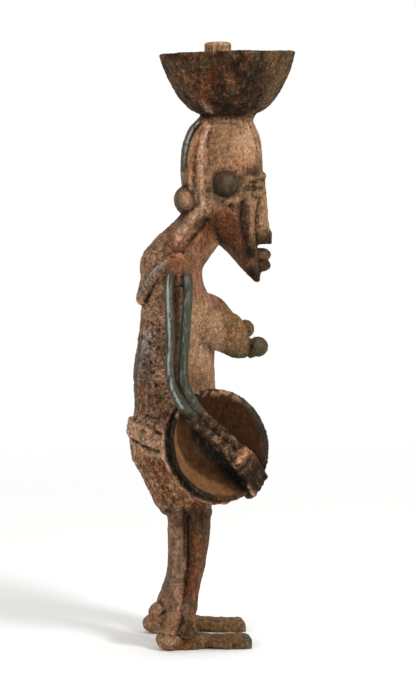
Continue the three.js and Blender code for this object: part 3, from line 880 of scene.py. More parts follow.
class FIGURE_OT_cast(bpy.types.Operator):
    """Join every form into one casting, then wear and corrode its skin"""
    bl_idname = "figure.cast"
    bl_label = "Cast in One"

    def execute(self, context):
        forms = marked("standing")
        select_none()
        for piece in forms:
            piece.select_set(True)
        context.view_layer.objects.active = forms[0]
        bpy.ops.object.join()
        casting = context.object
        casting.name = "casting"
        casting.data.name = "casting"
        self.skin(casting)
        self.relief(casting)
        self.thin(casting)
        del casting["form_group"]
        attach(casting, "root")
        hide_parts("figure")
        return {"FINISHED"}

    def skin(self, casting):
        make_active(casting)
        remesh = casting.modifiers.new("skin", "REMESH")
        remesh.mode = "VOXEL"
        remesh.voxel_size = surface().grain
        bpy.ops.object.modifier_apply(modifier="skin")
        soften = casting.modifiers.new("soften", "SMOOTH")
        soften.factor = 0.5
        soften.iterations = 3
        bpy.ops.object.modifier_apply(modifier="soften")
        self.blend_breasts(casting)

    def blend_breasts(self, casting):
        """Softens the breasts' roots into the chest."""
        x, y, z = on_figure(casting.data).T
        root = ramp(x, -14, -8) * ramp(x, 14, 6) * ramp(z, 198, 206) * ramp(z, 262, 252)
        weigh(casting, "root", root * ramp(np.abs(y), 30, 26))
        blend = casting.modifiers.new("blend", "SMOOTH")
        blend.factor = 0.6
        blend.iterations = 45
        blend.vertex_group = "root"
        bpy.ops.object.modifier_apply(modifier="blend")
        casting.vertex_groups.clear()

    def relief(self, casting):
        """Unevenness, lumps, crust, pits and grain, then the grooves and ridges that are worked in."""
        mesh = casting.data
        points = on_figure(mesh)
        region = zones(points)
        self.weigh_relief(casting, points, region)
        displace(casting, "swell", "CLOUDS", 0.016, surface().swell, "whole", noise_depth=1)
        displace(casting, "lumps", "CLOUDS", 0.0075, surface().lumps, "lumps", noise_depth=1)
        displace(casting, "crust", "CLOUDS", 0.0038, surface().crust, "rough", noise_depth=2)
        displace(casting, "pitting", "VORONOI", 0.0038, surface().pitting * 0.6, "rough",
                 distance_metric="DISTANCE", noise_intensity=1.0)
        displace(casting, "grain", "CLOUDS", 0.0019, surface().tooth, "fine", noise_depth=2)
        points, normals = on_figure(mesh), outward(mesh)
        self.groove(points, normals)
        self.scatter_pits(points, normals, region["back"])
        move_to(mesh, points)
        casting.vertex_groups.clear()

    def weigh_relief(self, casting, points, region):
        """How strongly each kind of unevenness shows on each part of the skin."""
        rough = np.clip(region["back"] * 0.55 + region["head_bowl"] * (1 - region["bowl_inside"]) * 0.5
                        + region["forearm"] * 0.4 + region["belt"] * 0.3 + region["legs"] * 0.2
                        + region["hip_outside"] * 0.3 + region["hip_rim"] * 0.15, 0, 1)
        whole = 1 - 0.8 * region["arms"] - 0.8 * region["hip_inside"] - 0.6 * region["peg"]
        weigh(casting, "whole", whole)
        rough = rough * (1 - region["hip_inside"]) * ramp(points[:, 2], 423, 414)
        weigh(casting, "rough", rough)
        weigh(casting, "lumps", np.clip(region["belt"] + region["trunk"] * ramp(points[:, 2], 150, 142)
                                        + 0.3 * region["forearm"] + 0.25 * region["hand"]
                                        + region["legs"] * ramp(points[:, 2], 36, 28) * 0.6, 0, 1))
        weigh(casting, "fine", 1 - 0.9 * region["hip_inside"] - 0.9 * (region["arms"] - region["forearm"])
              - 0.6 * region["ear"])

    def groove(self, points, normals):
        """Works in the grooves, ridges and pits that are placed one by one."""
        for line, half_width, depth in CUTS:
            carve(points, normals, line, half_width, depth)
            carve(points, normals, mirrored(line), half_width, depth * 0.9)
        for line, half_width, depth in ONE_SIDED_CUTS:
            carve(points, normals, line, half_width, depth)
        for pit in PIT_ROW:
            carve(points, normals, [pit], 0.8, 1.6)
        for line in toe_lines():
            carve(points, normals, line, 0.55, 1.0)
        for centre, radius in TIP_GROOVES:
            turns = [math.radians(30 * turn) for turn in range(13)]
            ring = [(centre[0] + 1.2 * math.sin(turn), centre[1] + radius * math.cos(turn),
                     centre[2] + radius * math.sin(turn)) for turn in turns]
            carve(points, normals, ring, 1.1, 1.4)

    def scatter_pits(self, points, normals, back):
        chance = np.random.default_rng(SEED)
        height = points[:, 2]
        low = (back > 0.5) & (height > 172) & (height < 230)
        chosen = chance.choice(np.nonzero(low)[0], 170, replace=False)
        for index in chosen:
            wide, deep = chance.uniform(0.6, 1.6), chance.uniform(0.4, 1.6)
            carve(points, normals, [tuple(points[index])], wide, deep)

    def thin(self, casting):
        make_active(casting)
        count = sum(len(polygon.vertices) - 2 for polygon in casting.data.polygons)
        fewer = casting.modifiers.new("thin", "DECIMATE")
        fewer.ratio = min(1.0, surface().triangles / count)
        bpy.ops.object.modifier_apply(modifier="thin")
        bpy.ops.object.shade_smooth()


# Patina and painted shade: regional colours, with some painted shade and highlight, are kept on the skin, and
# the shader breaks them up.

def neighbour_mean(edges, values, count):
    total = np.zeros_like(values)
    for a, b in ((0, 1), (1, 0)):
        for axis in range(values.shape[1]):
            total[:, axis] += np.bincount(edges[:, a], values[edges[:, b], axis], len(values))
    return total / count[:, None]


def hollowness(mesh, points, normals):
    """How far the skin lies below its own smoothed shape, in millimetres, at two scales."""
    edges = np.empty(len(mesh.edges) * 2, int)
    mesh.edges.foreach_get("vertices", edges)
    edges = edges.reshape(-1, 2)
    count = np.maximum(np.bincount(edges.ravel(), minlength=len(points)), 1)
    smoothed = points.copy()
    found = []
    for rounds in (5, 35):
        for _ in range(rounds):
            smoothed = smoothed + 0.6 * (neighbour_mean(edges, smoothed, count) - smoothed)
        found.append(((smoothed - points) * normals).sum(1))
    return found


def ragged(points, scale):
    """A seeded shift of each point, between -1 and 1 each way, that makes the edges of a wash ragged."""
    noise.seed_set(SEED)
    return np.array([noise.noise_vector(Vector(point) * scale) for point in points])


# Local patches of patina, and some of painted shade, shadow and highlight as marked: (colour, strength, half
# width, line), in millimetres from the figure's own axis.
PATCHES = [
    ("soot", 0.8, 6, [(14, -38, 417), (22, -36, 411), (24, -32, 403)]),
    ("soot", 0.85, 7, [(26, -38, 413), (27, -36, 404), (24, -28, 394)]),
    ("soot", 0.5, 7, [(4, -24, 388), (20, -24, 387)]),
    ("soot", 0.7, 5, [(15, -30, 402), (20, -28, 396), (24, -26, 390)]),
    ("soot", 0.7, 6, [(31, -32, 410), (35, -26, 400), (30, -22, 390)]),
    ("soot", 0.5, 7, [(-2, -34, 412), (2, -28, 398), (8, -24, 388)]),
    ("rust", 0.7, 4, [(3, -40, 416), (-2, -36, 408), (-8, -30, 398), (-12, -24, 390)]),
    ("rust", 0.7, 4, [(24, -36, 417), (29, -32, 408), (27, -28, 398)]),
    ("ochre", 0.5, 2, [(10, -40, 418), (4, -36, 410), (0, -34, 404)]),
    ("ochre", 0.5, 2, [(22, -34, 406), (16, -32, 400), (12, -28, 393)]),
    ("earth", 0.6, 7, [(40, -34, 417), (46, -28, 410), (42, -24, 400)]),
    ("olive", 0.5, 6, [(50, -26, 416), (44, -24, 404), (36, -22, 394)]),
    ("earth", 0.5, 5, [(-26, -26, 414), (-20, -26, 404)]),
    ("rose", 0.8, 2.8, [(-5.4, -22, 388), (-2.7, -17, 381), (-2.6, -14, 375)]),
    # Painted shadow where the head bowl's foot meets the stem.
    ("soot", 0.9, 2.0, [(6, -17, 381.5), (13.2, -18, 381), (21.4, -17, 381)]),
    ("earth", 0.7, 3, [(-2, -15, 377), (8, -17, 376.6), (22, -16, 376.4)]),
    ("rust", 0.5, 2.0, [(-7.2, -9, 374.3), (-12.1, -9, 366), (-15, -9.6, 356), (-16.4, -9.6, 345)]),
    ("ochre", 0.8, 2.0, [(-3.6, -13.6, 374), (-9, -14.4, 367), (-12, -14.6, 358), (-13.6, -14.8, 346),
                         (-14.4, -14, 334)]),
    ("rose", 0.9, 2.4, [(-3, -16.6, 372), (-6.6, -18.4, 363), (-7.8, -19.4, 354), (-8.2, -20, 344)]),
    ("rust", 0.5, 1.8, [(-1, -17, 369), (-3.2, -19.4, 360), (-3.6, -20.6, 348), (-3.4, -21, 341)]),
    ("sand", 0.7, 5, [(-8, -19, 338), (-9, -18, 326), (-9, -17, 316)]),
    ("ochre", 0.5, 4, [(5.4, -22, 347), (15.4, -22, 347), (24, -19, 345)]),
    ("earth", 0.6, 4, [(1, -19, 366), (1, -21, 358), (2, -22, 350)]),
    ("sand", 0.6, 6, [(24, -19, 366), (24, -20, 354)]),
    ("umber", 0.25, 6, [(8, -20, 364), (8, -21, 350)]),
    ("rust", 0.7, 6, [(9.4, -18, 308), (15.4, -17, 298), (21, -13, 285)]),
    ("umber", 0.6, 6, [(14, -17, 300), (22, -12, 283), (28, -8, 272)]),
    ("soot", 1.0, 4.6, [(23.4, -20, 318), (23.2, -18.6, 306), (25.6, -16.6, 294), (28, -14, 284)]),
    ("soot", 0.95, 2.2, [(12.4, -23, 316.8)]),
    ("umber", 0.8, 2.4, [(8, -22, 318.6), (13, -22, 316), (18, -20, 316)]),
    ("umber", 0.75, 5, [(27, -18, 339), (32, -13, 340), (37, -6, 338)]),
    ("olive", 0.8, 5.5, [(27, -18, 331), (34, -13, 329.6)]),
    ("umber", 0.4, 6, [(26, -18, 331), (34, -13, 330)]),
    # Painted highlights along the eyelids.
    ("sand", 0.4, 1.3, [(25, -20, 336.4), (31, -18, 336.6), (36, -13, 336)]),
    ("sand", 0.35, 1.0, [(26, -20, 331), (31, -18, 330.8), (35, -14, 330.6)]),
    ("soot", 0.9, 1.0, [(24, -20, 333.6), (30.6, -17, 333.2), (36, -11, 333.4)]),
    ("soot", 0.9, 1.0, [(24.4, -20, 328.4), (31, -16.8, 327.6), (36, -11, 328)]),
    ("sand", 0.6, 2.6, [(33, -6.6, 322), (35.4, -6.2, 308), (37, -6, 301)]),
    ("umber", 0.85, 1.8, [(43.4, -5, 322), (45.4, -5, 306), (45.6, -4, 300)]),
    ("verdigris", 0.9, 1.3, [(33.9, -8, 297.8), (38.2, -7.6, 298.3), (43.8, -6, 299.2)]),
    ("umber", 1.0, 5.2, [(35, -7, 292.4), (44, -5, 292.4)]),
    ("soot", 0.5, 1.2, [(34, -7, 289), (44, -6, 289.6)]),
    ("umber", 0.9, 8, [(39.4, -4, 276), (33.4, -4, 268)]),
    ("soot", 0.5, 4.6, [(36, -7, 292.4), (44, -5, 292.4)]),
    ("umber", 0.6, 5, [(26, -17, 296), (24, -17, 308), (22, -19, 316)]),
    ("soot", 0.45, 6, [(39, -4, 279), (34, -6, 270)]),
    ("soot", 0.4, 6, [(27, -13, 280), (32, -8, 270)]),
    ("soot", 0.95, 5.4, [(-20, -35, 15)]),
    ("soot", 0.55, 4, [(27, -33, 6), (27, -16, 6)]),
    ("gunmetal", 0.5, 5, [(-33, -28, 80), (-33, -29, 62), (-35, -30, 44)]),
    ("umber", 0.75, 4, [(25, -20, 341), (31, -17, 342), (35, -13, 349)]),
    ("umber", 0.6, 3, [(36, -8, 358), (33, -13, 362)]),
    # Painted shade beside the eye, towards the ear.
    ("soot", 0.6, 2.2, [(20.5, -22, 338), (20, -22, 331), (22, -21, 326)]),
    ("earth", 0.7, 2.6, [(37, -8, 282), (42, -6, 280)]),
    ("soot", 0.8, 4, [(30, -6, 268), (35, -4, 263)]),
    ("gunmetal", 0.85, 4.6, [(-23, -4, 330), (-24, -7, 323), (-22, -9, 315)]),
    ("rose", 0.5, 3, [(-19, -12, 325), (-17, -13, 318)]),
    ("soot", 0.6, 1.2, [(-15, -14, 329), (-14, -14, 321), (-15, -14, 314)]),
    ("sand", 0.6, 4.5, [(-8, -17.6, 317), (-13.6, -16, 310), (-20, -16, 303), (-26, -17, 296)]),
    ("rose", 0.4, 3, [(-7, -18, 316), (-12, -17, 309), (-19, -17, 302), (-25, -18, 295)]),
    ("rust", 0.6, 2.2, [(-4.6, -18, 305.5), (-11.2, -19, 298.5), (-17.1, -20.3, 291.6), (-24, -23, 285)]),
    ("umber", 0.5, 2.2, [(-15, -15, 317), (-20, -14, 310), (-27, -15, 301)]),
    ("rust", 0.5, 2.4, [(-28, -22, 290), (-34, -22, 282), (-40, -18, 274)]),
    ("earth", 0.7, 5, [(-2, -20, 292), (-8, -22, 284), (-10, -24, 276)]),
    ("umber", 0.55, 5, [(-4, -18, 297), (-9, -20, 288)]),
    ("rust", 0.4, 5, [(-4, -18, 297), (-9, -20, 288)]),
    ("sand", 0.6, 4, [(-12, -16, 312), (-9, -17, 316)]),
    ("sand", 0.6, 5, [(-12, -16, 330), (-10, -17, 322)]),
    ("ochre", 0.8, 3, [(-34, -34, 277), (-28, -35, 282), (-21, -34, 281), (-16, -32, 276)]),
    ("gunmetal", 0.7, 4.2, [(-36, -31, 277), (-40.3, -25, 272), (-44.1, -20, 266), (-48, -10, 257),
                            (-50, 0, 251)]),
    ("slate", 0.75, 2.0, [(-36, -32, 278), (-40.3, -26, 273), (-44.6, -21, 267), (-49, -10, 258),
                          (-51, 0, 252)]),
    ("soot", 0.85, 1.6, [(-36, -35.7, 272), (-40.4, -25.2, 263.6), (-44.1, -19.6, 257), (-47, -4, 246)]),
    ("rust", 0.8, 4, [(-26.8, -38, 268)]),
    # Painted shadow in the gap between the right arm's two rods.
    ("soot", 0.92, 4.2, [(-27, -39, 263), (-27, -38, 250), (-27, -34, 236)]),
    ("verdigris", 0.5, 2.0, [(-21, -44, 262), (-20.6, -43, 240), (-20, -43, 222)]),
    # Painted shadow on the trunk's side behind the right arm.
    ("soot", 0.97, 4.6, [(-27, -27, 256), (-27, -26, 240), (-27, -25.6, 222), (-28, -25.6, 200),
                         (-28, -26, 192)]),
    ("soot", 0.6, 6, [(-45, -18, 214), (-48, -14, 206)]),
    ("slate", 0.5, 5, [(-48, -14, 226), (-50, -10, 200)]),
    ("umber", 0.6, 5, [(-44, -20, 196), (-40, -24, 182)]),
    ("rose", 0.6, 4, [(-42, -22, 214), (-38, -25, 204), (-44, -20, 188)]),
    ("verdigris", 0.4, 3, [(-45.6, -17, 204), (-42.6, -21, 198)]),
    ("soot", 0.85, 1.8, [(-57.5, 2.4, 150), (-53.6, -19.5, 149), (-47.4, -27.2, 145.8),
                         (-40.7, -31.2, 144.9)]),
    ("rust", 0.6, 5, [(-46, -26, 136), (-40, -28, 126)]),
    ("umber", 0.6, 5, [(-36, -26, 110), (-32, -26, 103)]),
    ("earth", 0.7, 4, [(-20, -30, 108), (-20, -30, 100)]),
    ("soot", 0.7, 1.6, [(-21.2, -27.6, 101), (-21.2, -27.8, 88), (-21.2, -28.4, 76), (-21.4, -28.8, 68)]),
    ("umber", 0.7, 6, [(-7, -24, 112), (-9, -28, 98), (-8, -29, 84)]),
    ("rust", 0.7, 5, [(-14.6, -31, 78), (-15.6, -32, 60), (-18.6, -32, 42)]),
    ("umber", 0.6, 3.6, [(-30, -34, 40), (-33, -32, 30)]),
    ("soot", 0.9, 1.8, [(-36.9, -31.7, 29.3), (-39.6, -32.4, 25.3)]),
    ("umber", 0.95, 5, [(-19.9, -36, 15)]),
    ("rust", 0.7, 4, [(-26, -34, 6), (-18, -34, 4)]),
    ("umber", 0.6, 7, [(2, -30, 8), (16, -34, 6)]),
    ("verdigris", 0.8, 5.5, [(27, -33, 6), (27, -16, 6)]),
    ("verdigris", 0.5, 4.5, [(31, 16, 6), (31, 33, 6)]),
    ("umber", 0.9, 8, [(33, -17, 216)]),
    ("soot", 0.7, 1.6, [(27, -22, 219), (27.4, -24, 214), (29, -22, 209)]),
    # Painted highlight on the near breast's tip.
    ("slate", 0.35, 2.4, [(32, -24, 219.5)]),
    ("earth", 0.6, 6, [(29, 17, 226)]),
    # Painted shadow under the near breast.
    ("umber", 0.6, 7, [(10, -18, 206), (24, -18, 205)]),
    ("olive", 0.6, 4, [(6, -16, 244), (14, -18, 234), (20, -18, 226)]),
]


# Rubbed metal, in millimetres from the figure's own axis: the crest, the near breast's tip and other lines as
# (line, strength, reach); and the middle (x, z) of the painted highlight on the ear.
CREST_LINE = [(-5, 0, 378), (-13, 0, 368), (-17, 0, 355), (-17.5, 0, 340), (-17, 0, 328)]
NEAR_TIP = (33, -16.5, 216.2)
EAR_GLINT = (9.6, 335.4)
RUBBED_LINES = [
    ([(-24.6, -29, 92), (-24.4, -29, 76), (-26.2, -30, 56)], 0.34, 2.4),
    ([(-51, -8, 222), (-53, -6, 200), (-54, -4, 178)], 0.5, 5),
    ([(-48, -20, 198), (-46, -22, 186)], 0.4, 3),
    ([(-36, -24, 80), (-36, -26, 60), (-38, -28, 44)], 0.36, 4),
]


class FIGURE_OT_patina(bpy.types.Operator):
    """Lay the regional colours with their painted shade and highlight, the hollows, and the rubbed metal with
    its painted highlights on the skin, and give it its material
    """
    bl_idname = "figure.patina"
    bl_label = "Patina"

    def execute(self, context):
        casting = bpy.data.objects["casting"]
        mesh = casting.data
        points, normals = on_figure(mesh), outward(mesh)
        region = zones(points)
        fine, broad = hollowness(mesh, points, normals)
        coat = self.coat(points, region, normals)
        # The colours, with their painted shade and highlight, are kept as the patina attribute.
        self.keep_colour(mesh, "patina", coat)
        # Hollows, which the material darkens with dirt and painted shade.
        depth = (fine * 2.2 + np.maximum(broad, 0) * 0.32) * (1 - region["hip_inside"])
        self.keep(mesh, "hollow", np.clip(depth, 0, 1))
        self.keep(mesh, "rubbed", self.rubbed(points, region, normals))
        self.keep(mesh, "calm", self.calm(points, region))
        # Proud ridges, which the material lightens with dust and painted highlight.
        self.keep(mesh, "proud", np.clip(-fine * 3.0, 0, 1))
        self.keep(mesh, "rough_skin", np.clip(region["back"] + region["head_bowl"] + region["forearm"], 0, 1))
        mesh.materials.clear()
        mesh.materials.append(bronze_material())
        return {"FINISHED"}

    def calm(self, points, region):
        """Where the skin is even, so that its colours are broken up less."""
        dome = region["head"] * ramp(points[:, 2], 342, 348) * ramp(points[:, 0], 0, 4)
        calm = (region["hip_inside"] + 0.5 * region["front"] + 0.7 * region["ear"] + 0.2 * dome
                + 0.35 * region["head"] + 0.4 * region["breasts"] + 0.4 * region["legs"]
                + 0.3 * region["belt"] + 0.7 * (region["arms"] - region["forearm"]))
        return np.clip(calm, 0, 1)

    def coat(self, points, region, normals):
        """The regional colours, with some painted shade, shadow and highlight, laid one over the other like
        washes with ragged edges.
        """
        clean = points
        shift = ragged(points, 0.16) * 3.2 + ragged(points, 0.55) * 1.3
        blots, spots = ragged(points, 0.085).T, ragged(points, 0.24).T
        x, z = (clean + shift)[:, 0], (clean + shift)[:, 2]
        shade = {name: np.array(value) for name, value in shades().items()}
        coat = np.tile(shade["earth"], (len(clean), 1))

        def wash(weight, name):
            nonlocal coat
            weight = np.clip(weight, 0, 1)[:, None]
            coat = coat * (1 - weight) + shade[name] * weight

        self.wash_body(wash, region, x, z, blots, spots, normals)
        self.wash_head(wash, region, x, z, blots, spots)
        self.wash_head_bowl(wash, region, blots, spots)
        self.wash_hip_bowl(wash, region, x, z, clean, spots)
        self.wash_arms(wash, region, x, z, clean, spots)
        self.wash_ear(wash, region, clean)
        for name, strength, half_width, line in PATCHES:
            near = line_reach(clean + shift * min(half_width / 6, 1), line)
            wash(strength * np.exp(-(near / half_width) ** 2), name)
        return coat

    def wash_body(self, wash, region, x, z, blots, spots, normals):
        wash(region["front"] * 0.65, "sand")
        wash(region["front"] * ramp(z, 215, 180) * 0.35, "ochre")
        wash(region["front"] * ramp(z, 215, 180) * 0.35, "umber")
        wash(region["back"] * 0.35, "rose")
        wash(region["back"] * ramp(z, 225, 205) * 0.3, "umber")
        wash(region["back"] * ramp(blots[0], 0.06, 0.2) * 0.3, "gunmetal")
        wash(region["back"] * ramp(blots[1], 0.08, 0.22) * 0.45, "rust")
        wash(region["back"] * ramp(spots[0], 0.12, 0.24) * 0.35, "umber")
        wash(region["back"] * ramp(spots[1], 0.14, 0.28) * 0.5, "sand")
        wash(region["trunk"] * ramp(z, 242, 255) * 0.5, "rust")
        wash(region["trunk"] * ramp(z, 230, 242) * ramp(x, -30, -36) * 0.55, "sand")
        wash(region["trunk"] * ramp(z, 155, 140) * 0.4, "ochre")
        wash(region["trunk"] * ramp(z, 155, 140) * ramp(spots[1], -0.1, 0.1) * 0.4, "sand")
        wash(region["breasts"] * ramp(x, 6, 16) * 0.4, "olive")
        wash(region["breasts"] * ramp(x, 21, 28) * 0.5, "umber")
        # Painted shade: the breasts are darker on their undersides.
        wash(region["breasts"] * ramp(normals[:, 2], 0.1, -0.7) * 0.55, "gunmetal")
        wash(region["belt"] * 0.85, "rose")
        wash(region["belt"] * 0.7, "sand")
        wash(region["belt"] * 0.3, "rose")
        wash(region["belt"] * ramp(spots[2], 0, 0.2) * 0.5, "sand")
        wash(region["trunk"] * ramp(z, 290, 275) * ramp(z, 268, 275) * ramp(x, -40, -30) * 0.4, "umber")
        wash(region["legs"] * ramp(x, -22.5, -18) * ramp(z, 20, 30) * 0.6, "umber")
        wash(region["legs"] * ramp(x, -20.5, -25) * ramp(z, 20, 30) * 0.35, "rose")
        wash(region["legs"] * ramp(z, 84, 96) * 0.5, "umber")
        wash(region["legs"] * ramp(spots[0], -0.05, 0.2) * ramp(z, 22, 32) * 0.35, "umber")
        wash(region["legs"] * ramp(blots[1], 0.05, 0.2) * ramp(z, 22, 32) * 0.3, "gunmetal")
        wash(region["feet"] * 0.5, "olive")
        wash(region["feet"] * ramp(x, -24, -32) * 0.5, "sand")
        wash(region["feet"] * ramp(spots[0], 0, 0.2) * 0.4, "umber")

    def wash_head(self, wash, region, x, z, blots, spots):
        wash(region["head"] * 0.55, "sand")
        wash(region["head"] * ramp(blots[0], 0, 0.2) * 0.3, "ochre")
        wash(region["head"] * ramp(spots[0], 0.1, 0.25) * 0.25, "umber")
        wash(region["head"] * ramp(z, 322, 306) * ramp(x, 29, 24) * 0.95, "rust")
        wash(region["head"] * ramp(x, 26, 36) * ramp(z, 345, 335) * 0.3, "olive")
        wash(region["head"] * ramp(z, 320, 308) * ramp(x, 29, 24) * 0.7, "umber")
        wash(region["head"] * ramp(z, 300, 284) * 0.95, "umber")
        wash(region["head"] * ramp(x, -9, -15) * ramp(z, 335, 328) * 0.4, "umber")

    def wash_head_bowl(self, wash, region, blots, spots):
        outer = region["head_bowl"]
        wash(outer, "umber")
        wash(outer * ramp(blots[0], 0.02, 0.16) * 0.55, "soot")
        wash(outer * ramp(blots[1], 0.06, 0.22) * 0.45, "earth")
        wash(outer * ramp(blots[2], 0.1, 0.25) * 0.4, "olive")
        wash(outer * ramp(spots[0], 0.12, 0.24) * 0.4, "rust")
        wash(outer * ramp(spots[1], 0.16, 0.26) * 0.45, "soot")
        wash(region["bowl_inside"] * 0.5, "earth")
        wash(region["peg"] * 0.85, "sand")

    def wash_hip_bowl(self, wash, region, x, z, clean, spots):
        wash(region["hip_outside"], "umber")
        wash(region["hip_outside"] * ramp(x, -5, -20) * 0.8, "soot")
        wash(region["hip_inside"], "umber")
        # Painted light and shade inside the bowl: darker and redder towards the upper right, lighter ochre
        # and olive towards the lower left.
        within, slope = region["hip_inside"], clean[:, 0] + 1.07 * clean[:, 2]
        wash(within * ramp(slope, 168, 186) * 0.3, "rust")
        wash(within * ramp(slope, 168, 186) * 0.3, "soot")
        wash(within * ramp(slope, 164, 134) * 0.7, "ochre")
        wash(within * ramp(slope, 164, 134) * 0.35, "olive")
        wash(within * ramp(spots[2], 0.24, 0.34) * 0.3, "soot")
        below_forearm = [(-11, 0, 156), (-2, 0, 144), (11, 0, 131), (22, 0, 121)]
        shadow = line_reach(clean * np.array((1, 0, 1)), below_forearm)
        wash(within * ramp(shadow, 16, 3), "soot")
        wash(region["hip_rim"] * 0.9, "umber")
        wash(region["hip_rim"] * ramp(x, 5, -15) * 0.8, "soot")
        wash(region["hip_rim"] * ramp(z, 166, 180) * ramp(spots[0], -0.1, 0.1) * 0.7, "sand")
        wash(region["hip_rim"] * ramp(x, 8, 26) * 0.8, "gunmetal")
        wash(region["hip_rim"] * ramp(x, 14, 28) * 0.4, "soot")

    def wash_arms(self, wash, region, x, z, clean, spots):
        wash(region["arms"], "umber")
        wash(region["arms"] * ramp(z, 266, 276) * 0.6, "earth")
        wash(region["arms"] * ramp(z, 270, 278) * 0.3, "rust")
        wash(region["front_rod"] * 0.45, "verdigris")
        wash(region["forearm"] * 0.9, "umber")
        wash(region["forearm"] * ramp(spots[0], -0.02, 0.1) * 0.75, "soot")
        wash(region["forearm"] * ramp(spots[1], 0.2, 0.28) * 0.3, "sand")
        wash(region["hand"], "umber")
        wash(region["hand"] * 0.5, "soot")
        wash(region["hand"] * ramp(x, 28, 33) * 0.6, "soot")
        start, ahead = on_axis(over_mouth(0, 0, 0)), on_axis(over_mouth(0.001, 0, 0))
        along = (clean - start) @ (ahead - start) - (sizes().hip_bowl_radius - WRIST_INSET) / MM
        held = np.maximum(region["hand"], region["forearm"]) * ramp(along, -14, -13) * ramp(along, 1.5, 0.5)
        wash(held * 0.35, "earth")
        wash(held * ramp(np.cos(along / (RING_GAP / MM) * 2 * math.pi), -0.1, 0.7) * 0.85, "soot")

    def wash_ear(self, wash, region, clean):
        from_ear = np.hypot(clean[:, 0] - EAR_GLINT[0], clean[:, 2] - EAR_GLINT[1])
        wash(region["ear"] * 0.95, "umber")
        wash(region["ear"] * 0.25, "soot")
        # Painted highlight in the middle of the ear.
        wash(region["ear"] * ramp(from_ear, 5.5, 1) * 0.12, "slate")
        # Painted shade round the ear's edge.
        wash(region["ear"] * ramp(from_ear, 7.5, 10.5) * 0.7, "soot")

    def rubbed(self, points, region, normals):
        """Where handling has rubbed the crust down to grey metal, with painted light on the arm rods and the
        crest: lighter where they face the figure's right, darker towards their edges.
        """
        z = points[:, 2] + ragged(points, 0.4)[:, 0] * 5
        # Painted highlight: a narrow streak where the arm rods face the figure's right, a little back and up.
        streak = ramp(self.faces(normals, (-0.42, -0.88, 0.2)), 0.93, 0.995)
        rubbed = region["arms"] * (1 - region["forearm"])
        # Painted shade: the rods' grey metal fades out towards their edges, away from the figure's right.
        rubbed = rubbed * ramp(self.faces(normals, (-0.42, -0.88, 0.2)), 0.25, 0.7)
        rubbed = rubbed * ramp(z - 7 * region["front_rod"], 274, 265)
        rubbed = rubbed * (0.67 + 0.33 * streak * (1 - 0.8 * region["front_rod"]))
        broken = ramp(ragged(points, 0.45)[:, 1], 0.05, 0.22) * (0.12 + 0.6 * region["front_rod"])
        rubbed = rubbed * (1 - broken * ramp(z, 250, 225))
        crest = ramp(line_reach(points, CREST_LINE), 6.8, 5.2) * region["head"] * ramp(z, 336, 342)
        # Painted highlight: the crest is lighter where it faces the figure's right, a little forward.
        edge = ramp(self.faces(normals, (0.25, -0.95, 0.1)), 0.35, 0.75)
        rubbed = np.maximum(rubbed, crest * (0.6 + 0.4 * edge))
        rubbed = np.maximum(rubbed, 0.22 * region["ear"])
        rubbed = np.maximum(rubbed, 0.3 * ramp(line_reach(points, [NEAR_TIP]), 9, 8))
        for line, most, reach in RUBBED_LINES:
            for each in (line, mirrored(line)):
                rubbed = np.maximum(rubbed, ramp(line_reach(points, each), reach, reach * 0.6) * most)
        return np.clip(rubbed, 0, 1)

    def faces(self, normals, way):
        """How squarely the skin faces a way, or the same way on the left side."""
        x, y, z = way
        return np.maximum(normals @ np.array((x, y, z)), normals @ np.array((x, -y, z)))

    def keep(self, mesh, name, values):
        attribute = mesh.attributes.new(name, "FLOAT", "POINT")
        attribute.data.foreach_set("value", values)

    def keep_colour(self, mesh, name, values):
        attribute = mesh.attributes.new(name, "FLOAT_COLOR", "POINT")
        attribute.data.foreach_set("color", np.column_stack([values, np.ones(len(values))]).ravel())


def shades():
    """The patina's colours by name."""
    colours = bpy.context.scene.figure_patina
    return {name: tuple(getattr(colours, name)) for name in SHADES}


class Nodes:
    """A short way to write the nodes of a material or of the world."""

    def __init__(self, owner):
        owner.use_nodes = True
        self.tree = owner.node_tree
        self.tree.nodes.clear()

    def add(self, kind, inputs=None, **settings):
        node = self.tree.nodes.new(kind)
        for key, value in settings.items():
            setattr(node, key, value)
        for key, value in (inputs or {}).items():
            self.feed(node, key, value)
        return node

    def feed(self, node, key, value):
        if isinstance(value, bpy.types.NodeSocket):
            self.tree.links.new(value, node.inputs[key])
        elif isinstance(value, tuple) and len(value) == 3 and node.inputs[key].type == "RGBA":
            node.inputs[key].default_value = (*value, 1)
        else:
            node.inputs[key].default_value = value

    def stored(self, name, output="Fac"):
        return self.add("ShaderNodeAttribute", attribute_name=name).outputs[output]

    def noise(self, where, scale, detail=3.0, roughness=0.6, distortion=0.0):
        node = self.add("ShaderNodeTexNoise", {"Vector": where, "Scale": scale, "Detail": detail,
                                               "Roughness": roughness, "Distortion": distortion})
        return node.outputs["Fac"]

    def step(self, value, low, high, to_low=0.0, to_high=1.0):
        node = self.add("ShaderNodeMapRange", {"Value": value, "From Min": low, "From Max": high,
                                               "To Min": to_low, "To Max": to_high})
        node.clamp = True
        return node.outputs["Result"]

    def sum(self, operation, first, second):
        return self.add("ShaderNodeMath", {0: first, 1: second}, operation=operation).outputs[0]

    def mix(self, factor, first, second, blend="MIX"):
        node = self.add("ShaderNodeMix", data_type="RGBA", blend_type=blend)
        for index, value in ((0, factor), (6, first), (7, second)):
            self.feed(node, index, value)
        return node.outputs[2]


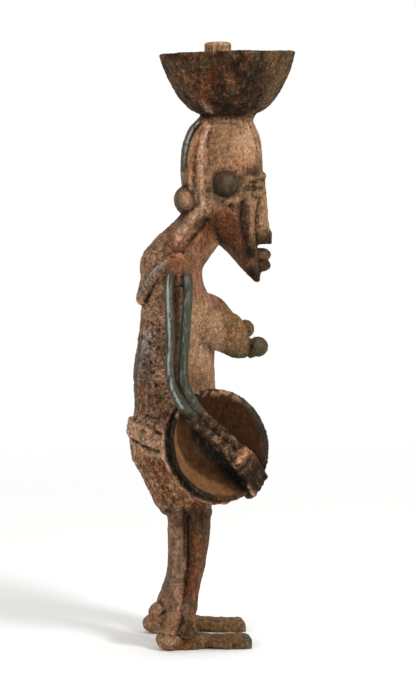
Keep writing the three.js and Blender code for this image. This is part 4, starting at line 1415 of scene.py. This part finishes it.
def bronze_material():
    """Corroded bronze: washes broken by mottling and streaks, dirt and painted shade in the hollows, dust and
    painted highlight on the ridges, and rubbed metal with painted highlights.
    """
    shade = shades()
    material = bpy.data.materials.new("corroded_bronze")
    nodes = Nodes(material)
    where = nodes.add("ShaderNodeTexCoord").outputs["Object"]
    drawn = nodes.add("ShaderNodeMapping", {"Vector": where, "Scale": (1.0, 1.0, 0.28)}).outputs["Vector"]
    hollow = nodes.stored("hollow")
    rubbed = nodes.stored("rubbed")
    proud = nodes.stored("proud")
    calm = nodes.stored("calm")
    rough_skin = nodes.stored("rough_skin")
    patches = nodes.noise(where, 95, 4, 0.65, 0.6)
    mottle = nodes.noise(where, 400, 4, 0.7, 0.5)
    speckle = nodes.noise(where, 900, 3, 0.7)
    streak = nodes.noise(drawn, 420, 4, 0.7, 0.5)
    base = nodes.stored("patina", "Color")
    warm = nodes.mix(0.55, base, shade["ochre"], "SOFT_LIGHT")
    loud = nodes.sum("SUBTRACT", 1.0, calm)
    coloured = nodes.mix(nodes.sum("MULTIPLY", nodes.step(patches, 0.5, 0.66, 0, 0.7), loud), base, warm)
    gloom = nodes.sum("MULTIPLY", nodes.step(patches, 0.5, 0.36, 0, 0.75), loud)
    coloured = nodes.mix(gloom, coloured, nodes.mix(0.75, base, shade["umber"]))
    dusty = nodes.mix(0.22, coloured, shade["rose"])
    coloured = nodes.mix(nodes.step(streak, 0.54, 0.7, 0, 0.5), coloured, dusty)
    sooty = nodes.mix(0.7, base, shade["soot"])
    coloured = nodes.mix(nodes.step(streak, 0.46, 0.34, 0, 0.55), coloured, sooty)
    green = nodes.sum("MULTIPLY", nodes.step(patches, 0.44, 0.34, 0, 0.4), nodes.step(speckle, 0.45, 0.6))
    green = nodes.sum("MULTIPLY", green, loud)
    coloured = nodes.mix(green, coloured, shade["verdigris"])
    grain = nodes.sum("MULTIPLY", nodes.step(mottle, 0.37, 0.63, 0.45, 1.35),
                      nodes.step(speckle, 0.35, 0.65, 0.5, 1.45))
    grain = nodes.sum("MULTIPLY", grain, nodes.step(streak, 0.42, 0.66, 0.86, 1.3))
    # Dust and painted highlight: proud ridges are lighter.
    grain = nodes.sum("MULTIPLY", grain, nodes.step(proud, 0.05, 0.6, 1.0, 1.4))
    quiet = nodes.step(calm, 0, 1, 0, 0.75)
    grain = nodes.sum("ADD", nodes.sum("MULTIPLY", grain, nodes.sum("SUBTRACT", 1.0, quiet)), quiet)
    grained_and_ridge_lit = nodes.add("ShaderNodeVectorMath", {0: coloured, 1: grain}, operation="MULTIPLY").outputs[0]
    # Dirt and painted shade: the hollows are darkened towards soot.
    dirt_and_shade = nodes.sum("MULTIPLY", nodes.step(hollow, 0.15, 1.0), nodes.step(mottle, 0.3, 0.6, 0.95, 0.7))
    soiled_and_shaded = nodes.mix(dirt_and_shade, grained_and_ridge_lit, shade["soot"])
    pits = nodes.step(speckle, 0.41, 0.34, 0, 0.7)
    pits = nodes.sum("MULTIPLY", pits, nodes.step(rough_skin, 0, 1, 0.4, 1))
    pits = nodes.sum("MULTIPLY", pits, loud)
    soiled_and_shaded = nodes.mix(pits, soiled_and_shaded, shade["soot"])
    # The rubbed metal, with its painted highlights, turns the colour towards gunmetal and slate.
    metal_and_glint = nodes.sum("MULTIPLY", nodes.step(rubbed, 0.1, 0.95), nodes.step(streak, 0.32, 0.5, 0.45, 1))
    metal_and_glint = nodes.sum("MULTIPLY", metal_and_glint, nodes.step(hollow, 0.9, 0.3))
    final = nodes.mix(nodes.step(metal_and_glint, 0.08, 0.5, 0, 0.85), soiled_and_shaded, shade["gunmetal"])
    final = nodes.mix(nodes.step(metal_and_glint, 0.62, 0.98, 0, 0.9), final, shade["slate"])
    shine = nodes.step(metal_and_glint, 0, 0.6, 0.72, 0.46)
    shine = nodes.sum("ADD", shine, nodes.step(mottle, 0.3, 0.7, -0.06, 0.1))
    fine = nodes.sum("ADD", nodes.sum("MULTIPLY", mottle, 0.7), nodes.sum("MULTIPLY", speckle, 0.3))
    relief = nodes.sum("MULTIPLY", fine, nodes.step(nodes.sum("MAXIMUM", metal_and_glint, calm), 0.1, 0.8, 1, 0.3))
    bump = nodes.add("ShaderNodeBump", {"Height": relief, "Strength": 0.9, "Distance": 0.0022})
    bump = bump.outputs["Normal"]
    shader = nodes.add("ShaderNodeBsdfPrincipled", {"Base Color": final, "Roughness": shine, "Normal": bump,
                                                    "Metallic": nodes.sum("MULTIPLY", metal_and_glint, 0.85)})
    shader.inputs["Specular IOR Level"].default_value = 0.1
    nodes.add("ShaderNodeOutputMaterial", {"Surface": shader.outputs["BSDF"]})
    return material


class FIGURE_OT_stage(bpy.types.Operator):
    """Set the pale floor, the soft light and the camera"""
    bl_idname = "figure.stage"
    bl_label = "Stage"

    def execute(self, context):
        self.floor(context)
        self.lights(context)
        self.camera(context)
        return {"FINISHED"}

    def floor(self, context):
        select_none()
        bpy.ops.mesh.primitive_plane_add(size=12)
        floor = context.object
        floor.name = "floor"
        material = bpy.data.materials.new("pale_floor")
        nodes = Nodes(material)
        where = nodes.add("ShaderNodeTexCoord").outputs["Object"]
        pale = tuple(context.scene.figure_stage.floor)
        faded = tuple(part * 0.985 for part in pale)
        tone = nodes.mix(nodes.step(nodes.noise(where, 3), 0.3, 0.7), pale, faded)
        away = nodes.add("ShaderNodeSeparateXYZ", {0: where}).outputs["Y"]
        shader = nodes.add("ShaderNodeBsdfPrincipled", {"Base Color": tone, "Roughness": 0.9})
        lit = nodes.add("ShaderNodeEmission", {"Color": (1.0, 1.0, 1.0), "Strength": 1.0})
        both = nodes.add("ShaderNodeMixShader", {0: nodes.step(away, 0.12, 0.9), 1: shader.outputs["BSDF"],
                                                 2: lit.outputs[0]})
        nodes.add("ShaderNodeOutputMaterial", {"Surface": both.outputs[0]})
        floor.data.materials.append(material)

    def lights(self, context):
        light = context.scene.figure_stage
        context.scene.view_settings.view_transform = "Standard"
        world = bpy.data.worlds.new("pale_surround")
        nodes = Nodes(world)
        axis = nodes.add("ShaderNodeSeparateXYZ", {0: nodes.add("ShaderNodeTexCoord").outputs["Generated"]})
        behind = nodes.sum("ADD", axis.outputs["Y"], nodes.sum("MULTIPLY", axis.outputs["Z"], 0.5))
        strength = nodes.step(behind, -0.25, 0.35, light.surround, 1.0)
        sky = nodes.add("ShaderNodeBackground", {"Color": (1.0, 1.0, 1.0), "Strength": strength})
        nodes.add("ShaderNodeOutputWorld", {"Surface": sky.outputs[0]})
        context.scene.world = world
        for name, place, width, power in (
                ("key", (1.05, -1.2, 1.25), 0.45, light.key_power),
                ("side", (-0.9, -1.05, 0.75), 0.3, light.side_power)):
            select_none()
            bpy.ops.object.light_add(type="AREA", location=place)
            lamp = context.object
            lamp.name = name
            lamp.data.size = width
            lamp.data.energy = power
            lamp.rotation_euler = (TARGET - Vector(place)).to_track_quat("-Z", "Y").to_euler()

    def camera(self, context):
        azimuth, elevation, distance = math.radians(-8), math.radians(6.1), 1.40906
        back = Vector((math.sin(azimuth) * math.cos(elevation), -math.cos(azimuth) * math.cos(elevation),
                       math.sin(elevation)))
        select_none()
        bpy.ops.object.camera_add(location=TARGET + back * distance)
        camera = context.object
        camera.rotation_euler = (-back).to_track_quat("-Z", "Y").to_euler()
        camera.data.lens = 103.455
        camera.data.sensor_width = 36
        camera.data.clip_end = 50
        context.scene.camera = camera


class FIGURE_PT_panel(bpy.types.Panel):
    """Sizes, colours and steps of the figure"""
    bl_idname = "FIGURE_PT_panel"
    bl_label = "Bronze Figure"
    bl_space_type = "VIEW_3D"
    bl_region_type = "UI"
    bl_category = "Figure"

    def draw(self, context):
        layout = self.layout
        for name in ("figure_sizes", "figure_surface", "figure_patina", "figure_stage"):
            group = getattr(context.scene, name)
            box = layout.box()
            for key in group.__annotations__:
                box.prop(group, key)
        for step in STEPS:
            layout.operator(step.bl_idname)


GROUPS = (("figure_sizes", FigureSizes), ("figure_surface", SurfaceSizes), ("figure_patina", PatinaColours),
          ("figure_stage", StageLight))
STEPS = (FIGURE_OT_trunk, FIGURE_OT_head, FIGURE_OT_breasts, FIGURE_OT_legs, FIGURE_OT_hip_bowl,
         FIGURE_OT_arms, FIGURE_OT_head_bowl, FIGURE_OT_cast, FIGURE_OT_patina, FIGURE_OT_stage)


def register():
    for name, group in GROUPS:
        bpy.utils.register_class(group)
        setattr(bpy.types.Scene, name, bpy.props.PointerProperty(type=group))
    for step in STEPS:
        bpy.utils.register_class(step)
    bpy.utils.register_class(FIGURE_PT_panel)


def unregister():
    bpy.utils.unregister_class(FIGURE_PT_panel)
    for step in reversed(STEPS):
        bpy.utils.unregister_class(step)
    for name, group in reversed(GROUPS):
        delattr(bpy.types.Scene, name)
        bpy.utils.unregister_class(group)


def main():
    register()
    bpy.ops.figure.trunk()
    bpy.ops.figure.head()
    bpy.ops.figure.breasts()
    bpy.ops.figure.legs()
    bpy.ops.figure.hip_bowl()
    bpy.ops.figure.arms()
    bpy.ops.figure.head_bowl()
    bpy.ops.figure.cast()
    bpy.ops.figure.patina()
    bpy.ops.figure.stage()


if __name__ == "__main__":
    main()
